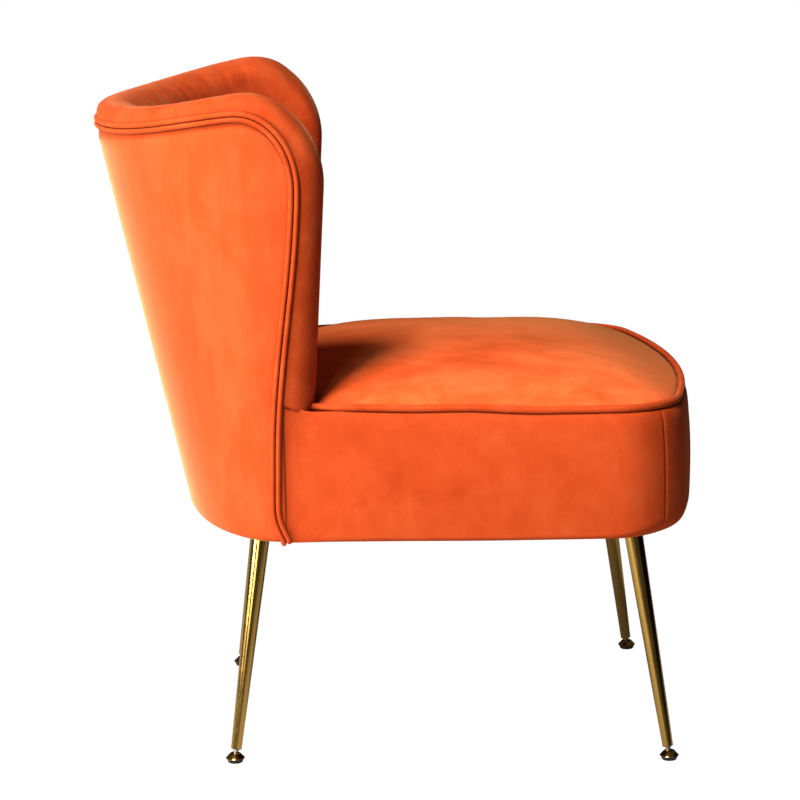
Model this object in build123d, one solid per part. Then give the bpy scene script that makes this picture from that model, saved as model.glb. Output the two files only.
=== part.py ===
from build123d import *
import math
import os

# Upholstered wing chair on four splayed metal legs. Millimetres, Z up, the front faces -Y.
# The origin is on the floor under the middle of the chair, and left is the sitter's left, +X.

# Upholstered body: heights of its lower edge and of the stack inside the seat
underside_z = 266.0
rail_lift = 9.0
rail_height = 70.0
rail_width = 24.0
border_height = 137.0
seat_crown = 46.0
crown_power = 2.6

# Seat plan: a bowed front, round front corners and sides that taper to the back
seat_front_y = -337.0
front_bow_radius = 490.0
front_corner_radius = 72.0
seat_half_width_front = 272.0
seat_taper = 11.0
side_straight_run = 128.0
border_pad = 16.0
border_bulge = 3.5
border_bottom_draw = 2.5
border_top_draw = 6.5
border_seam_run = 61.0
border_seam_gap = 0.4

# Outside back: straight lines drawn from a lower half oval to an upper, deeper one
shell_height = 425.0
shell_base_inset = 3.0
shell_base_depth = 115.0
shell_base_spring_y = 126.5
wing_flare = 12.0
back_rake = 104.0
wing_lead = 10.0
wing_rise = 44.0
panel_thickness = 6.0
panel_corner_radius = 58.0

# Padded inside back, with its roll along the top and down the wing fronts
wing_pad = 60.0
wing_crown = 4.0
lumbar_extra = 22.0
bottom_extra = 14.0
top_extra = 4.0
roll_rise_wing = 15.0
roll_rise_rear = 27.0
roll_drop = 8.0
roll_crest_share = 0.45
wing_overhang = 36.0
wing_corner_radius = 70.0
tuft_radius = 28.0
tuft_depth = 9.0
tuft_upper_drop = 69.0
tuft_row_spacing = 90.0
tuft_upper_angle = 36.0
tuft_lower_angle = 18.0
button_radius = 10.0
button_height = 6.0
button_round = 0.7

# Timber inside the back
former_depth = 26.0
former_thickness = 18.0
middle_former_rise = 67.0
upper_former_drop = 46.0
strut_width = 26.0
strut_outer_angle = 78.0
strut_inner_angle = 40.0
ear_from_angle = 48.0
ear_to_angle = 76.0
former_top_margin = 8.0

# Timber inside the seat
block_height = 35.0
front_block_width = 154.0
front_block_length = 145.0
rear_block_width = 62.0
rear_block_length = 60.0
rear_rail_thickness = 22.0
rear_rail_end_gap = 14.0

# Seat springs, felt and back straps
wire_diameter = 3.6
spring_pitch = 20.0
spring_width = 44.0
spring_bend_radius = 8.5
spring_spacing = 74.0
clip_sheet = 1.2
clip_width = 20.0
clip_length = 14.0
felt_thickness = 2.0
strap_thickness = 1.6
strap_width = 50.0
strap_low_rise = 33.0
strap_high_rise = 172.0

# Piping and under cover
seat_welt_diameter = 8.4
seat_welt_set = 2.5
back_welt_width = 11.0
back_welt_height = 4.6
cover_sheet = 0.8

# Legs: where each pair's floor point lies from the front corner's centre and the back's base
front_foot_out_x = 22.9
front_foot_out_y = 75.5
rear_foot_inset_x = 69.0
rear_foot_setback = 49.0
leg_slope_x = 0.19
leg_slope_y = 0.1415
leg_top_diameter = 21.5
leg_bottom_diameter = 12.0
leg_wall = 1.2
plate_size = 46.0
plate_thickness = 3.0
plate_screw_spacing = 32.0
screw_diameter = 4.2
screw_length = 14.0
screw_head_diameter = 7.6
screw_head_height = 2.2
rail_screw_length = 45.0
rail_screw_spacing = 90.0

# Levelling feet
ball_height = 5.2
ball_diameter = 7.2
neck_diameter = 5.0
neck_length = 7.0
stud_diameter = 6.0
stud_length = 33.0
leg_end_distance = 9.0
insert_length = 14.0
cup_rim_diameter = 21.3
cup_top_diameter = 10.8
cup_rim_z = 4.6
cup_rim_height = 0.8
cup_top_z = 10.4
cup_wall = 1.0
cup_hole_diameter = 8.6
glide_bottom_diameter = 16.0
glide_top_diameter = 19.4
glide_rim_height = 4.3
glide_boss_diameter = 11.0
glide_boss_height = 7.0

# Clearances
soft_gap = 0.4
pocket_front_gap = 1.0
fit_gap = 0.2
thread_gap = 0.05
ball_gap = 0.3
overcut = 8.0
far = 2000.0

# Plan sizes that follow from the seat's width and its front
seat_half_width_rear = seat_half_width_front - seat_taper
shell_base_half_width = seat_half_width_rear - shell_base_inset
shell_top_half_width = shell_base_half_width + wing_flare
shell_top_depth = shell_base_depth + back_rake
shell_top_spring_y = shell_base_spring_y - wing_lead
side_straight_start_y = seat_front_y + side_straight_run
border_seam_y = seat_front_y + border_seam_run
front_block_x = seat_half_width_front - front_block_width
front_block_y = seat_front_y + front_block_length
rear_foot_x = seat_half_width_rear - rear_foot_inset_x
rear_foot_y = shell_base_spring_y + shell_base_depth - rear_foot_setback

# Heights that follow from the stack
rail_z = underside_z + rail_lift
rail_top_z = rail_z + rail_height
border_top_z = underside_z + border_height
shell_top_z = underside_z + shell_height
base_panel_top_z = rail_z + former_thickness
middle_former_z = border_top_z + middle_former_rise
middle_former_top_z = middle_former_z + former_thickness
upper_former_z = shell_top_z - upper_former_drop
upper_former_top_z = upper_former_z + former_thickness
wire_z = rail_top_z + clip_sheet + fit_gap + wire_diameter / 2
clip_top_z = wire_z + wire_diameter / 2 + fit_gap + clip_sheet
felt_z = clip_top_z + fit_gap
core_z = felt_z + felt_thickness + fit_gap
core_top_z = border_top_z + fit_gap
cushion_z = core_top_z + fit_gap
pad_bottom_z = border_top_z + soft_gap
plate_z = rail_z - plate_thickness
strap_low_z = border_top_z + strap_low_rise
strap_high_z = border_top_z + strap_high_rise
tuft_upper_z = shell_top_z - tuft_upper_drop
tuft_lower_z = tuft_upper_z - tuft_row_spacing
seat_welt_inset = border_top_draw + seat_welt_set

# Depths from the outside of the back towards the sitter
former_out = panel_thickness + soft_gap
former_in = former_out + former_depth
strap_out = former_in + soft_gap
strap_in = strap_out + strap_thickness
pocket_depth = strap_in + soft_gap

# Stations round the back, in degrees from its middle, left then right
wing_angle = 90.0
half_stations = (wing_angle, 89, 87.5, 85, 81, 75, 66, 55, 44, 33, 22, 11)
back_stations = half_stations + (0,) + tuple(-angle for angle in reversed(half_stations))
roll_stations = (18, 36, 54, 72)
crown_steps = (1.0, 0.9, 0.75, 0.55, 0.3)


def keep(name, shape):
    """Write one named piece."""
    export_step(shape, f"parts/{name}.step")


def slab(low, high):
    """Everything between two heights."""
    return Pos(0, 0, (low + high) / 2) * Box(far, far, high - low)


def column(x, y, width, length, low, high, turn=0.0):
    """Upright box about a plan point, turned about its own vertical axis."""
    return Pos(x, y, (low + high) / 2) * Rot(0, 0, turn) * Box(width, length, high - low)


def rod(start, direction, radius, length):
    """Round bar from a point along a direction."""
    return Solid.make_cylinder(radius, length, Plane(start, z_dir=direction))


# Seat plan

def front_corner_centre():
    """Centre of the left front corner arc, tangent to the bowed front and to the straight side."""
    run_x = seat_half_width_rear - seat_half_width_front
    run_y = shell_base_spring_y - side_straight_start_y
    length = math.hypot(run_x, run_y)
    along = Vector(run_x / length, run_y / length, 0)
    outward = Vector(along.Y, -along.X, 0)
    bow_centre = Vector(0, seat_front_y + front_bow_radius, 0)
    start = Vector(seat_half_width_front, side_straight_start_y, 0) - outward * front_corner_radius
    offset_start = start - bow_centre
    reach = front_bow_radius - front_corner_radius
    b = offset_start.dot(along)
    c = offset_start.dot(offset_start) - reach**2
    centre = start + along * (-b - math.sqrt(b * b - c))
    return bow_centre, centre, along, outward


def seat_outline(inset, z, rear_y, squeeze=1.0):
    """Closed seat plan, inset from the outer face, and drawn in about its middle by squeeze."""
    bow_centre, corner, along, outward = front_corner_centre()
    bow_end = bow_centre + (corner - bow_centre).normalized() * (front_bow_radius - inset)
    side_start = corner + outward * (front_corner_radius - inset)
    corner_way = ((bow_end - corner).normalized() + outward).normalized()
    corner_mid = corner + corner_way * (front_corner_radius - inset)
    side_end = side_start + along * ((rear_y - side_start.Y) / along.Y)
    front = Vector(0, seat_front_y + inset, 0)
    middle = Vector(0, (seat_front_y + rear_y) / 2, 0)

    def left(point):
        drawn = middle + (point - middle) * squeeze
        return Vector(drawn.X, drawn.Y, z)

    def right(point):
        return left(Vector(-point.X, point.Y, 0))

    return Wire([
        Edge.make_line(right(side_end), left(side_end)),
        Edge.make_line(left(side_end), left(side_start)),
        Edge.make_three_point_arc(left(side_start), left(corner_mid), left(bow_end)),
        Edge.make_three_point_arc(left(bow_end), left(front), right(bow_end)),
        Edge.make_three_point_arc(right(bow_end), right(corner_mid), right(side_start)),
        Edge.make_line(right(side_start), right(side_end)),
    ])


def seat_block(inset, low, high, rear_y):
    """Upright solid of the seat plan between two heights."""
    return Solid.extrude(Face(seat_outline(inset, low, rear_y)), Vector(0, 0, high - low))


# Back geometry

def wave(angle):
    """1 in the middle of the back and 0 at the wings."""
    return math.cos(math.radians(angle)) ** 2


def outward_normal(angle):
    """Level direction out of the back at a station."""
    half_width = (shell_base_half_width + shell_top_half_width) / 2
    depth = (shell_base_depth + shell_top_depth) / 2
    turn = math.radians(angle)
    return Vector(math.sin(turn) / half_width, math.cos(turn) / depth, 0).normalized()


def shell_point(angle, z, inward, forward=0.0):
    """Point of the back: on the straight line at a station, then inwards and towards the front."""
    turn = math.radians(angle)
    up = (z - underside_z) / shell_height
    half_width = shell_base_half_width + (shell_top_half_width - shell_base_half_width) * up
    depth = shell_base_depth + (shell_top_depth - shell_base_depth) * up
    spring_y = shell_base_spring_y + (shell_top_spring_y - shell_base_spring_y) * up
    outer = Vector(half_width * math.sin(turn), spring_y + depth * math.cos(turn) - forward, z)
    return outer - outward_normal(angle) * inward


def run_from_front(angle):
    """Distance along the upper oval from the wing front to a station, in short straight steps."""
    steps = 12
    start = math.radians(abs(angle))
    total = 0.0
    for step in range(steps):
        turn = start + (math.pi / 2 - start) * (step + 0.5) / steps
        slope = math.hypot(shell_top_half_width * math.cos(turn), shell_top_depth * math.sin(turn))
        total += slope * (math.pi / 2 - start) / steps
    return total


def corner_drop(run, radius):
    """How far a round corner falls below the top line at a distance from the front edge."""
    if run >= radius:
        return 0.0
    return radius - math.sqrt(radius**2 - (radius - run) ** 2)


def welt_z(angle):
    """Height of the top line of the back, which rises from the middle to the wings."""
    return shell_top_z + wing_rise * (1 - wave(angle))


def panel_top_z(angle):
    """Top of the outside back panel, with its round front corner."""
    return welt_z(angle) - corner_drop(run_from_front(angle), panel_corner_radius)


def shell_layer(outer, inner, low, top_margin, ahead=0.0):
    """Curved wall round the back between two depths, from a height up to below the top line."""
    stations = [(angle, 0.0) for angle in back_stations]
    if ahead > 0:
        stations = [(wing_angle, ahead)] + stations + [(-wing_angle, ahead)]
    sections = []
    for angle, forward in stations:
        high = panel_top_z(angle) - top_margin
        sections.append(Wire.make_polygon([
            shell_point(angle, low, outer, forward),
            shell_point(angle, high, outer, forward),
            shell_point(angle, high, inner, forward),
            shell_point(angle, low, inner, forward),
        ]))
    return Solid.make_loft(sections, ruled=True)


def pad_depths(angle, half, spare):
    """Depths of the pad's inner face at its top, its middle and its bottom."""
    inner = wing_pad / 2 + half + spare
    fullness = wave(angle)
    crown = wing_crown * half / (wing_pad / 2)
    return (
        inner + top_extra * fullness,
        inner + crown + lumbar_extra * fullness,
        inner + bottom_extra * fullness,
    )


def pad_section(angle, forward, half, spare=0.0):
    """Upright slice of the padded back: outer line, rolled top, bulged inner face, flat bottom.

    With spare it is the slice of the room that the pad takes from the seat, and of all behind it.
    """
    outer = -far / 10 if spare else wing_pad / 2 - half
    share = half / (wing_pad / 2)
    run = wing_overhang - forward + run_from_front(angle)
    top = welt_z(angle) - corner_drop(run, wing_corner_radius)
    rise = (roll_rise_wing + (roll_rise_rear - roll_rise_wing) * wave(angle)) * share
    depth_top, depth_mid, depth_low = pad_depths(angle, half, spare)
    low = pad_bottom_z - overcut if spare else pad_bottom_z
    inner_top_z = top - roll_drop * share
    mid_z = (pad_bottom_z + inner_top_z) / 2
    crest_depth = outer + (depth_top - outer) * roll_crest_share
    step = forward + spare if forward else 0.0
    low_out = shell_point(angle, low, outer, step)
    top_out = shell_point(angle, top, outer, step)
    crest = shell_point(angle, top + rise, crest_depth, step)
    top_in = shell_point(angle, inner_top_z, depth_top, step)
    mid_in = shell_point(angle, mid_z, depth_mid, step)
    low_in = shell_point(angle, low, depth_low, step)
    return Wire([
        Edge.make_line(low_out, top_out),
        Edge.make_three_point_arc(top_out, crest, top_in),
        Edge.make_three_point_arc(top_in, mid_in, low_in),
        Edge.make_line(low_in, low_out),
    ])


def pad_solid(spare=0.0):
    """Padded back from one wing front round to the other, with rounded front ends."""
    radius = wing_pad / 2
    front = []
    for angle in roll_stations:
        turn = math.radians(angle)
        front.append((wing_overhang - radius * (1 - math.cos(turn)), radius * math.sin(turn)))
    left = [pad_section(wing_angle, forward, half, spare) for forward, half in front]
    middle = [pad_section(angle, 0.0, radius, spare) for angle in back_stations]
    right = [pad_section(-wing_angle, forward, half, spare) for forward, half in reversed(front)]
    return Solid.make_loft(left + middle + right, ruled=True)


# Padded pieces

def tuft_places():
    """Station and height of each sewn tuft: three above and two below."""
    upper = [(angle, tuft_upper_z) for angle in (tuft_upper_angle, 0, -tuft_upper_angle)]
    return upper + [(angle, tuft_lower_z) for angle in (tuft_lower_angle, -tuft_lower_angle)]


def tuft_centre(angle, z):
    """Centre of the ball that hollows one tuft out of the inner face."""
    top_z = welt_z(angle) - roll_drop
    depth_top, depth_mid, depth_low = pad_depths(angle, wing_pad / 2, 0.0)
    up = (z - pad_bottom_z) / (top_z - pad_bottom_z)
    chord = depth_low + (depth_top - depth_low) * up
    bulge = depth_mid - (depth_low + depth_top) / 2
    depth = chord + 4 * bulge * up * (1 - up)
    return shell_point(angle, z, depth - tuft_depth + tuft_radius)


def back_pad():
    """Inside back with its wings: the padded form less the pocket for the timber and the tufts."""
    pocket = shell_layer(
        -overcut, pocket_depth, pad_bottom_z - overcut, -soft_gap, ahead=pocket_front_gap
    )
    pad = pad_solid() - pocket
    for angle, z in tuft_places():
        pad -= Pos(*tuft_centre(angle, z)) * Sphere(tuft_radius)
    return pad


def tuft_buttons():
    """Covered buttons, each seated in the bottom of its tuft."""
    seat = math.sqrt((tuft_radius - soft_gap) ** 2 - button_radius**2)
    buttons = []
    for angle, z in tuft_places():
        outward = outward_normal(angle)
        base = tuft_centre(angle, z) + outward * seat
        button = rod(base, outward * -1, button_radius, button_height)
        face_rim = min(button.edges(), key=lambda edge: (edge.center() - base).dot(outward))
        buttons.append(button.fillet(button_height * button_round, [face_rim]))
    return Compound(children=buttons)


def seat_cushion():
    """Crowned seat: plan outlines drawn in as they rise, cut where the padded back stands."""
    rear_y = shell_point(0, cushion_z, wing_pad).Y
    inset = seat_welt_inset + seat_welt_diameter / 2 + soft_gap
    outlines = []
    for squeeze in crown_steps:
        z = cushion_z + seat_crown * (1 - squeeze**crown_power)
        outlines.append(seat_outline(inset, z, rear_y, squeeze))
    return Solid.make_loft(outlines) - pad_solid(soft_gap)


def seat_borders():
    """Padded band round the seat, in a front panel and two side panels sewn at the corners."""
    rear_y = shell_point(wing_angle, border_top_z, 0).Y - back_welt_width / 2 - soft_gap
    mid_z = (underside_z + border_top_z) / 2
    band = Solid.make_loft([
        seat_outline(border_bottom_draw, underside_z, rear_y),
        seat_outline(-border_bulge, mid_z, rear_y),
        seat_outline(border_top_draw, border_top_z, rear_y),
    ])
    band -= seat_block(border_pad, underside_z - overcut, border_top_z + overcut, rear_y + far / 2)
    front_y = border_seam_y - border_seam_gap / 2
    side_y = border_seam_y + border_seam_gap / 2
    front = band & Pos(0, front_y - far / 2, 0) * Box(far, far, far)
    sides = band & Pos(0, side_y + far / 2, 0) * Box(far, far, far)
    left = sides & Pos(far / 2, 0, 0) * Box(far, far, far)
    right = sides & Pos(-far / 2, 0, 0) * Box(far, far, far)
    return {"front": front, "left": left, "right": right}


def seat_welt():
    """Single piping round the seat's upper edge, from one wing to the other."""
    z = border_top_z + soft_gap + seat_welt_diameter / 2
    rear_y = shell_point(wing_angle, border_top_z, 0, wing_overhang).Y - soft_gap
    edges = seat_outline(seat_welt_inset, z, rear_y).edges()
    path = Wire([edge for edge in edges if edge.center().Y < rear_y - soft_gap])
    section = Plane(path @ 0, z_dir=path % 0) * Circle(seat_welt_diameter / 2)
    return sweep(section, path=path)


def back_welt():
    """Double piping along the edge of the outside back, up one wing, round the top and down."""
    rise = [underside_z + (panel_top_z(wing_angle) - underside_z) * step / 4 for step in range(4)]
    left = [(wing_angle, z) for z in rise] + [(angle, panel_top_z(angle)) for angle in half_stations]
    route = left + [(0, panel_top_z(0))] + [(-angle, z) for angle, z in reversed(left)]
    points = [shell_point(angle, z, soft_gap * -1) for angle, z in route]
    half = back_welt_width / 2
    profile = (
        (-half, 0),
        (-half / 2, back_welt_height),
        (0, back_welt_height / 2),
        (half / 2, back_welt_height),
        (half, 0),
    )
    sections = []
    for index, (angle, z) in enumerate(route):
        before = points[max(index - 1, 0)]
        after = points[min(index + 1, len(points) - 1)]
        outward = outward_normal(angle)
        across = (after - before).cross(outward).normalized()
        corners = [points[index] + across * side + outward * out for side, out in profile]
        sections.append(Wire.make_polygon(corners))
    return Solid.make_loft(sections, ruled=True)


# Timber frame

def frame_rear_y():
    """Where the seat frame meets the front edge of the base panel."""
    return shell_point(wing_angle, rail_z, 0).Y


def half_spaces(y):
    """Space in front of and behind an upright plane across the chair."""
    return Pos(0, y - far / 2, 0) * Box(far, far, far), Pos(0, y + far / 2, 0) * Box(far, far, far)


def seat_rails():
    """Bowed front rail and straight side rails, butted behind the front corners."""
    outer = border_pad + soft_gap
    rear_y = frame_rear_y()
    ring = seat_block(outer, rail_z, rail_top_z, rear_y)
    ring -= seat_block(
        outer + rail_width, rail_z - overcut, rail_top_z + overcut, rear_y + overcut
    )
    ahead, behind = half_spaces(side_straight_start_y)
    sides = ring & behind
    left = sides & Pos(far / 2, 0, 0) * Box(far, far, far)
    right = sides & Pos(-far / 2, 0, 0) * Box(far, far, far)
    return {"front_rail": ring & ahead, "side_rail_left": left, "side_rail_right": right}


def rear_rail_y():
    """Middle of the rear rail, just behind the front edge of the base panel."""
    return frame_rear_y() + fit_gap + rear_rail_thickness / 2


def rear_rail():
    """Straight rail across the back of the seat, standing on the base panel."""
    half = shell_base_half_width - former_in - rear_rail_end_gap
    y = rear_rail_y()
    return column(0, y, 2 * half, rear_rail_thickness, base_panel_top_z, rail_top_z)


def corner_blocks():
    """Blocks glued into the four inner corners of the seat frame."""
    inset = border_pad + soft_gap + rail_width + fit_gap
    rear_y = frame_rear_y() - fit_gap
    room = seat_block(inset, rail_z, rail_z + block_height, rear_y)
    reach = seat_half_width_rear - inset - rear_block_width
    front = room & Pos(front_block_x + far / 2, front_block_y - far / 2, 0) * Box(far, far, far)
    rear_start = rear_y - rear_block_length
    rear = room & Pos(reach + far / 2, rear_start + far / 2, 0) * Box(far, far, far)
    return {"front": front, "rear": rear}


def base_panel():
    """Half oval board under the back, which carries the rear legs."""
    corners = [shell_point(angle, rail_z, former_out) for angle in back_stations]
    board = Face(Wire.make_polygon(corners))
    return Solid.extrude(board, Vector(0, 0, former_thickness))


def strut_columns(low, high):
    """Upright boxes at the five strut stations."""
    columns = []
    for angle in (strut_outer_angle, strut_inner_angle, 0, -strut_inner_angle, -strut_outer_angle):
        middle = shell_point(angle, (low + high) / 2, (former_out + former_in) / 2)
        outward = outward_normal(angle)
        turn = math.degrees(math.atan2(outward.Y, outward.X)) - 90
        columns.append(column(middle.X, middle.Y, strut_width, far / 10, low, high, turn))
    return columns


def back_timbers():
    """Formers, struts and wing ears, all cut from one curved layer behind the outside back."""
    layer = shell_layer(former_out, former_in, base_panel_top_z, former_top_margin)
    lower = [layer & box for box in strut_columns(base_panel_top_z, middle_former_z)]
    upper = [layer & box for box in strut_columns(middle_former_top_z, upper_former_z)]
    above = layer & slab(upper_former_top_z, shell_top_z + far / 4)
    start = shell_point(ear_to_angle, shell_top_z, 0).Y
    end = shell_point(ear_from_angle, shell_top_z, 0).Y
    ear = above & Pos(far / 2, (start + end) / 2, 0) * Box(far, end - start, far)
    return {
        "back_middle_former": layer & slab(middle_former_z, middle_former_top_z),
        "back_upper_former": layer & slab(upper_former_z, upper_former_top_z),
        "back_lower_struts": solid_group(lower),
        "back_upper_struts": solid_group(upper),
        "wing_ear_left": ear,
        "wing_ear_right": mirror(ear, about=Plane.YZ),
    }


def solid_group(shapes):
    """Several separate solids in one named piece."""
    return Compound(children=[solid for shape in shapes for solid in shape.solids()])


# Springs, felt and straps

def front_rail_y(x):
    """Middle of the front rail's top at a place across the seat."""
    radius = front_bow_radius - border_pad - soft_gap - rail_width / 2
    return seat_front_y + front_bow_radius - math.sqrt(radius**2 - x**2)


def spring_ends():
    """Place across the seat and the two end places in plan of each spring."""
    rear = rear_rail_y()
    return [(step * spring_spacing, front_rail_y(step * spring_spacing), rear) for step in range(-2, 3)]


def seat_springs():
    """Flat zigzag wires from the front rail to the rear rail, each with an end bar in a clip."""
    springs = []
    for x, front, rear in spring_ends():
        bends = 2 * round((rear - front) / spring_pitch / 2)
        pitch = (rear - front) / bends
        points = []
        for step in range(bends + 1):
            side = spring_width / 2 if step % 2 else -spring_width / 2
            points += [(x - side, front + pitch * step), (x + side, front + pitch * step)]
        radius = min(spring_bend_radius, pitch * 0.45)
        path = Pos(0, 0, wire_z) * FilletPolyline(*points, radius=radius)
        section = Plane(path @ 0, z_dir=path % 0) * Circle(wire_diameter / 2)
        springs.append(sweep(section, path=path))
    return solid_group(springs)


def spring_clips():
    """Folded clips that hold the springs' end bars on the rails."""
    clips = []
    for x, front, rear in spring_ends():
        for y, way in ((front, -1), (rear, 1)):
            low = rail_top_z
            high = clip_top_z
            wall_y = y + way * (clip_length - clip_sheet) / 2
            clip = column(x, y, clip_width, clip_length, low, low + clip_sheet)
            clip += column(x, y, clip_width, clip_length, high - clip_sheet, high)
            clip += column(x, wall_y, clip_width, clip_sheet, low, high)
            clips.append(clip)
    return solid_group(clips)


def back_straps():
    """Two bands of webbing across the inner side of the back's timbers."""
    layer = shell_layer(strap_out, strap_in, base_panel_top_z, former_top_margin)
    return solid_group([layer & slab(z, z + strap_width) for z in (strap_low_z, strap_high_z)])


# Legs and feet

def leg_places():
    """Name, floor point and upward direction of each leg."""
    places = {}
    corner = front_corner_centre()[1]
    for end, x, y, slope in (
        ("front", corner.X + front_foot_out_x, corner.Y - front_foot_out_y, leg_slope_y),
        ("rear", rear_foot_x, rear_foot_y, -leg_slope_y),
    ):
        for side, sign in (("left", 1), ("right", -1)):
            up = Vector(-sign * leg_slope_x, slope, 1)
            places[f"{end}_{side}"] = (Vector(sign * x, y, ball_height), up)
    return places


def leg_top(ball, up):
    """Where a leg's axis meets the underside of its plate."""
    return ball + up * (plate_z - ball.Z)


def leg(ball, up):
    """Tapered tube, cut square at the foot and level under its plate."""
    way = up.normalized()
    length = (plate_z - ball.Z) / way.Z - leg_end_distance
    taper = (leg_top_diameter - leg_bottom_diameter) / 2 / length
    longer = length + leg_top_diameter
    low = leg_bottom_diameter / 2
    high = low + taper * longer
    start = Plane(ball + way * leg_end_distance, z_dir=way)
    tube = Solid.make_cone(low, high, longer, start)
    tube -= Solid.make_cone(low - leg_wall, high - leg_wall, longer, start)
    return tube & slab(0, plate_z)


def leg_insert(ball, up):
    """Threaded plug in the lower end of a leg."""
    way = up.normalized()
    start = ball + way * leg_end_distance
    plug = rod(start, way, leg_bottom_diameter / 2 - leg_wall - thread_gap, insert_length)
    return plug - rod(start, way, stud_diameter / 2 + thread_gap, insert_length)


def screw_places(ball, up):
    """Four screw points of a leg's plate."""
    top = leg_top(ball, up)
    half = plate_screw_spacing / 2
    return [Vector(top.X + x, top.Y + y, 0) for x in (-half, half) for y in (-half, half)]


def leg_plate(ball, up):
    """Square mounting plate welded to the leg's top."""
    top = leg_top(ball, up)
    plate = column(top.X, top.Y, plate_size, plate_size, plate_z, rail_z)
    return drilled(plate, screw_places(ball, up), screw_diameter / 2 + fit_gap, plate_z, plate_thickness)


def drilled(shape, places, radius, z, depth):
    """A shape with an upright hole at each place that reaches it."""
    for place in places:
        shape -= rod(Vector(place.X, place.Y, z), Vector(0, 0, 1), radius, depth)
    return shape


def leg_screws(places):
    """Pan head screws through the plates into the timber."""
    screws = []
    for place in places:
        head = Vector(place.X, place.Y, plate_z - screw_head_height)
        screw = rod(head, Vector(0, 0, 1), screw_head_diameter / 2, screw_head_height)
        shank = screw_head_height + plate_thickness + screw_length
        screws.append(screw + rod(head, Vector(0, 0, 1), screw_diameter / 2, shank))
    return solid_group(screws)


def rear_rail_places():
    """Plan points of the screws up into the rear rail."""
    y = rear_rail_y()
    return [Vector(step * rail_screw_spacing, y, 0) for step in (-1, 0, 1)]


def rear_rail_screws():
    """Headless screws up through the base panel into the rear rail."""
    screws = []
    for place in rear_rail_places():
        start = Vector(place.X, place.Y, rail_z + fit_gap)
        screws.append(rod(start, Vector(0, 0, 1), screw_diameter / 2, rail_screw_length))
    return solid_group(screws)


def dust_cover():
    """Thin cloth under the frame, cut out round the leg plates."""
    z = rail_z - fit_gap - cover_sheet
    corners = [shell_point(angle, rail_z, former_out) for angle in back_stations]
    rear = Face(Wire.make_polygon([Vector(point.X, point.Y, z) for point in corners]))
    sheet = seat_block(border_pad + soft_gap, z, z + cover_sheet, frame_rear_y())
    sheet += Solid.extrude(rear, Vector(0, 0, cover_sheet))
    for ball, up in leg_places().values():
        top = leg_top(ball, up)
        size = plate_size + 2 * soft_gap
        sheet -= column(top.X, top.Y, size, size, z - overcut, z + overcut)
    return sheet


def stud(ball, up):
    """Threaded stud with a thin neck and a ball end."""
    way = up.normalized()
    body = Pos(*ball) * Sphere(ball_diameter / 2)
    body += rod(ball, way, neck_diameter / 2, neck_length)
    return body + rod(ball + way * neck_length, way, stud_diameter / 2, stud_length - neck_length)


def cup(ball):
    """Cone shaped metal cup over the glide, open for the stud's neck."""
    rim = cup_rim_diameter / 2
    top = cup_top_diameter / 2
    hole = cup_hole_diameter / 2
    profile = Polyline(
        (rim, cup_rim_z),
        (rim, cup_rim_z + cup_rim_height),
        (top, cup_top_z),
        (hole, cup_top_z),
        (hole, cup_top_z - cup_wall),
        (rim - cup_wall, cup_rim_z + cup_rim_height - cup_wall / 2),
        (rim - cup_wall, cup_rim_z),
        close=True,
    )
    return Pos(ball.X, ball.Y, 0) * revolve(Plane.XZ * make_face(profile), Axis.Z)


def glide(ball):
    """Plastic pad under the cup, with a socket round the stud's ball."""
    profile = Polyline(
        (0, 0),
        (glide_bottom_diameter / 2, 0),
        (glide_top_diameter / 2, glide_rim_height),
        (glide_boss_diameter / 2, glide_rim_height),
        (glide_boss_diameter / 2, glide_boss_height),
        (0, glide_boss_height),
        close=True,
    )
    pad = Pos(ball.X, ball.Y, 0) * revolve(Plane.XZ * make_face(profile), Axis.Z)
    return pad - Pos(*ball) * Sphere(ball_diameter / 2 + ball_gap)


def main():
    os.makedirs("parts", exist_ok=True)
    legs = leg_places()
    plate_screws = [place for ball, up in legs.values() for place in screw_places(ball, up)]
    hole = screw_diameter / 2 + thread_gap
    depth = screw_length + fit_gap

    for name, rail in seat_rails().items():
        keep(f"seat_{name}", drilled(rail, plate_screws, hole, rail_z, depth))
    for end, block in corner_blocks().items():
        for side, shape in (("left", block), ("right", mirror(block, about=Plane.YZ))):
            keep(f"{end}_corner_block_{side}", drilled(shape, plate_screws, hole, rail_z, depth))
    panel = drilled(base_panel(), plate_screws, hole, rail_z, depth)
    keep("rear_base_panel", drilled(panel, rear_rail_places(), hole, rail_z, former_thickness))
    rail = drilled(rear_rail(), rear_rail_places(), hole, rail_z, rail_screw_length + 2 * fit_gap)
    keep("seat_rear_rail", rail)
    keep("rear_rail_screws", rear_rail_screws())
    for name, timber in back_timbers().items():
        keep(name, timber)

    keep("seat_springs", seat_springs())
    keep("spring_clips", spring_clips())
    felt = seat_block(border_pad + soft_gap, felt_z, felt_z + felt_thickness, frame_rear_y())
    keep("spring_felt", felt)
    keep("back_straps", back_straps())

    core_rear_y = shell_point(wing_angle, border_top_z, 0).Y
    keep("seat_core", seat_block(border_pad + soft_gap, core_z, core_top_z, core_rear_y))
    keep("seat_cushion", seat_cushion())
    for side, panel in seat_borders().items():
        keep(f"seat_border_{side}", panel)
    keep("seat_welt", seat_welt())
    keep("back_pad", back_pad())
    keep("tuft_buttons", tuft_buttons())
    keep("outer_back_panel", shell_layer(0, panel_thickness, underside_z, 0))
    keep("back_welt", back_welt())
    keep("dust_cover", dust_cover())

    keep("leg_screws", leg_screws(plate_screws))
    for name, (ball, up) in legs.items():
        keep(f"leg_{name}", leg(ball, up))
        keep(f"leg_plate_{name}", leg_plate(ball, up))
        keep(f"leg_insert_{name}", leg_insert(ball, up))
        keep(f"foot_stud_{name}", stud(ball, up))
        keep(f"foot_cup_{name}", cup(ball))
        keep(f"foot_glide_{name}", glide(ball))


main()
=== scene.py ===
"""Tufted accent chair: velvet upholstery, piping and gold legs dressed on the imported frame."""
import math

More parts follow.
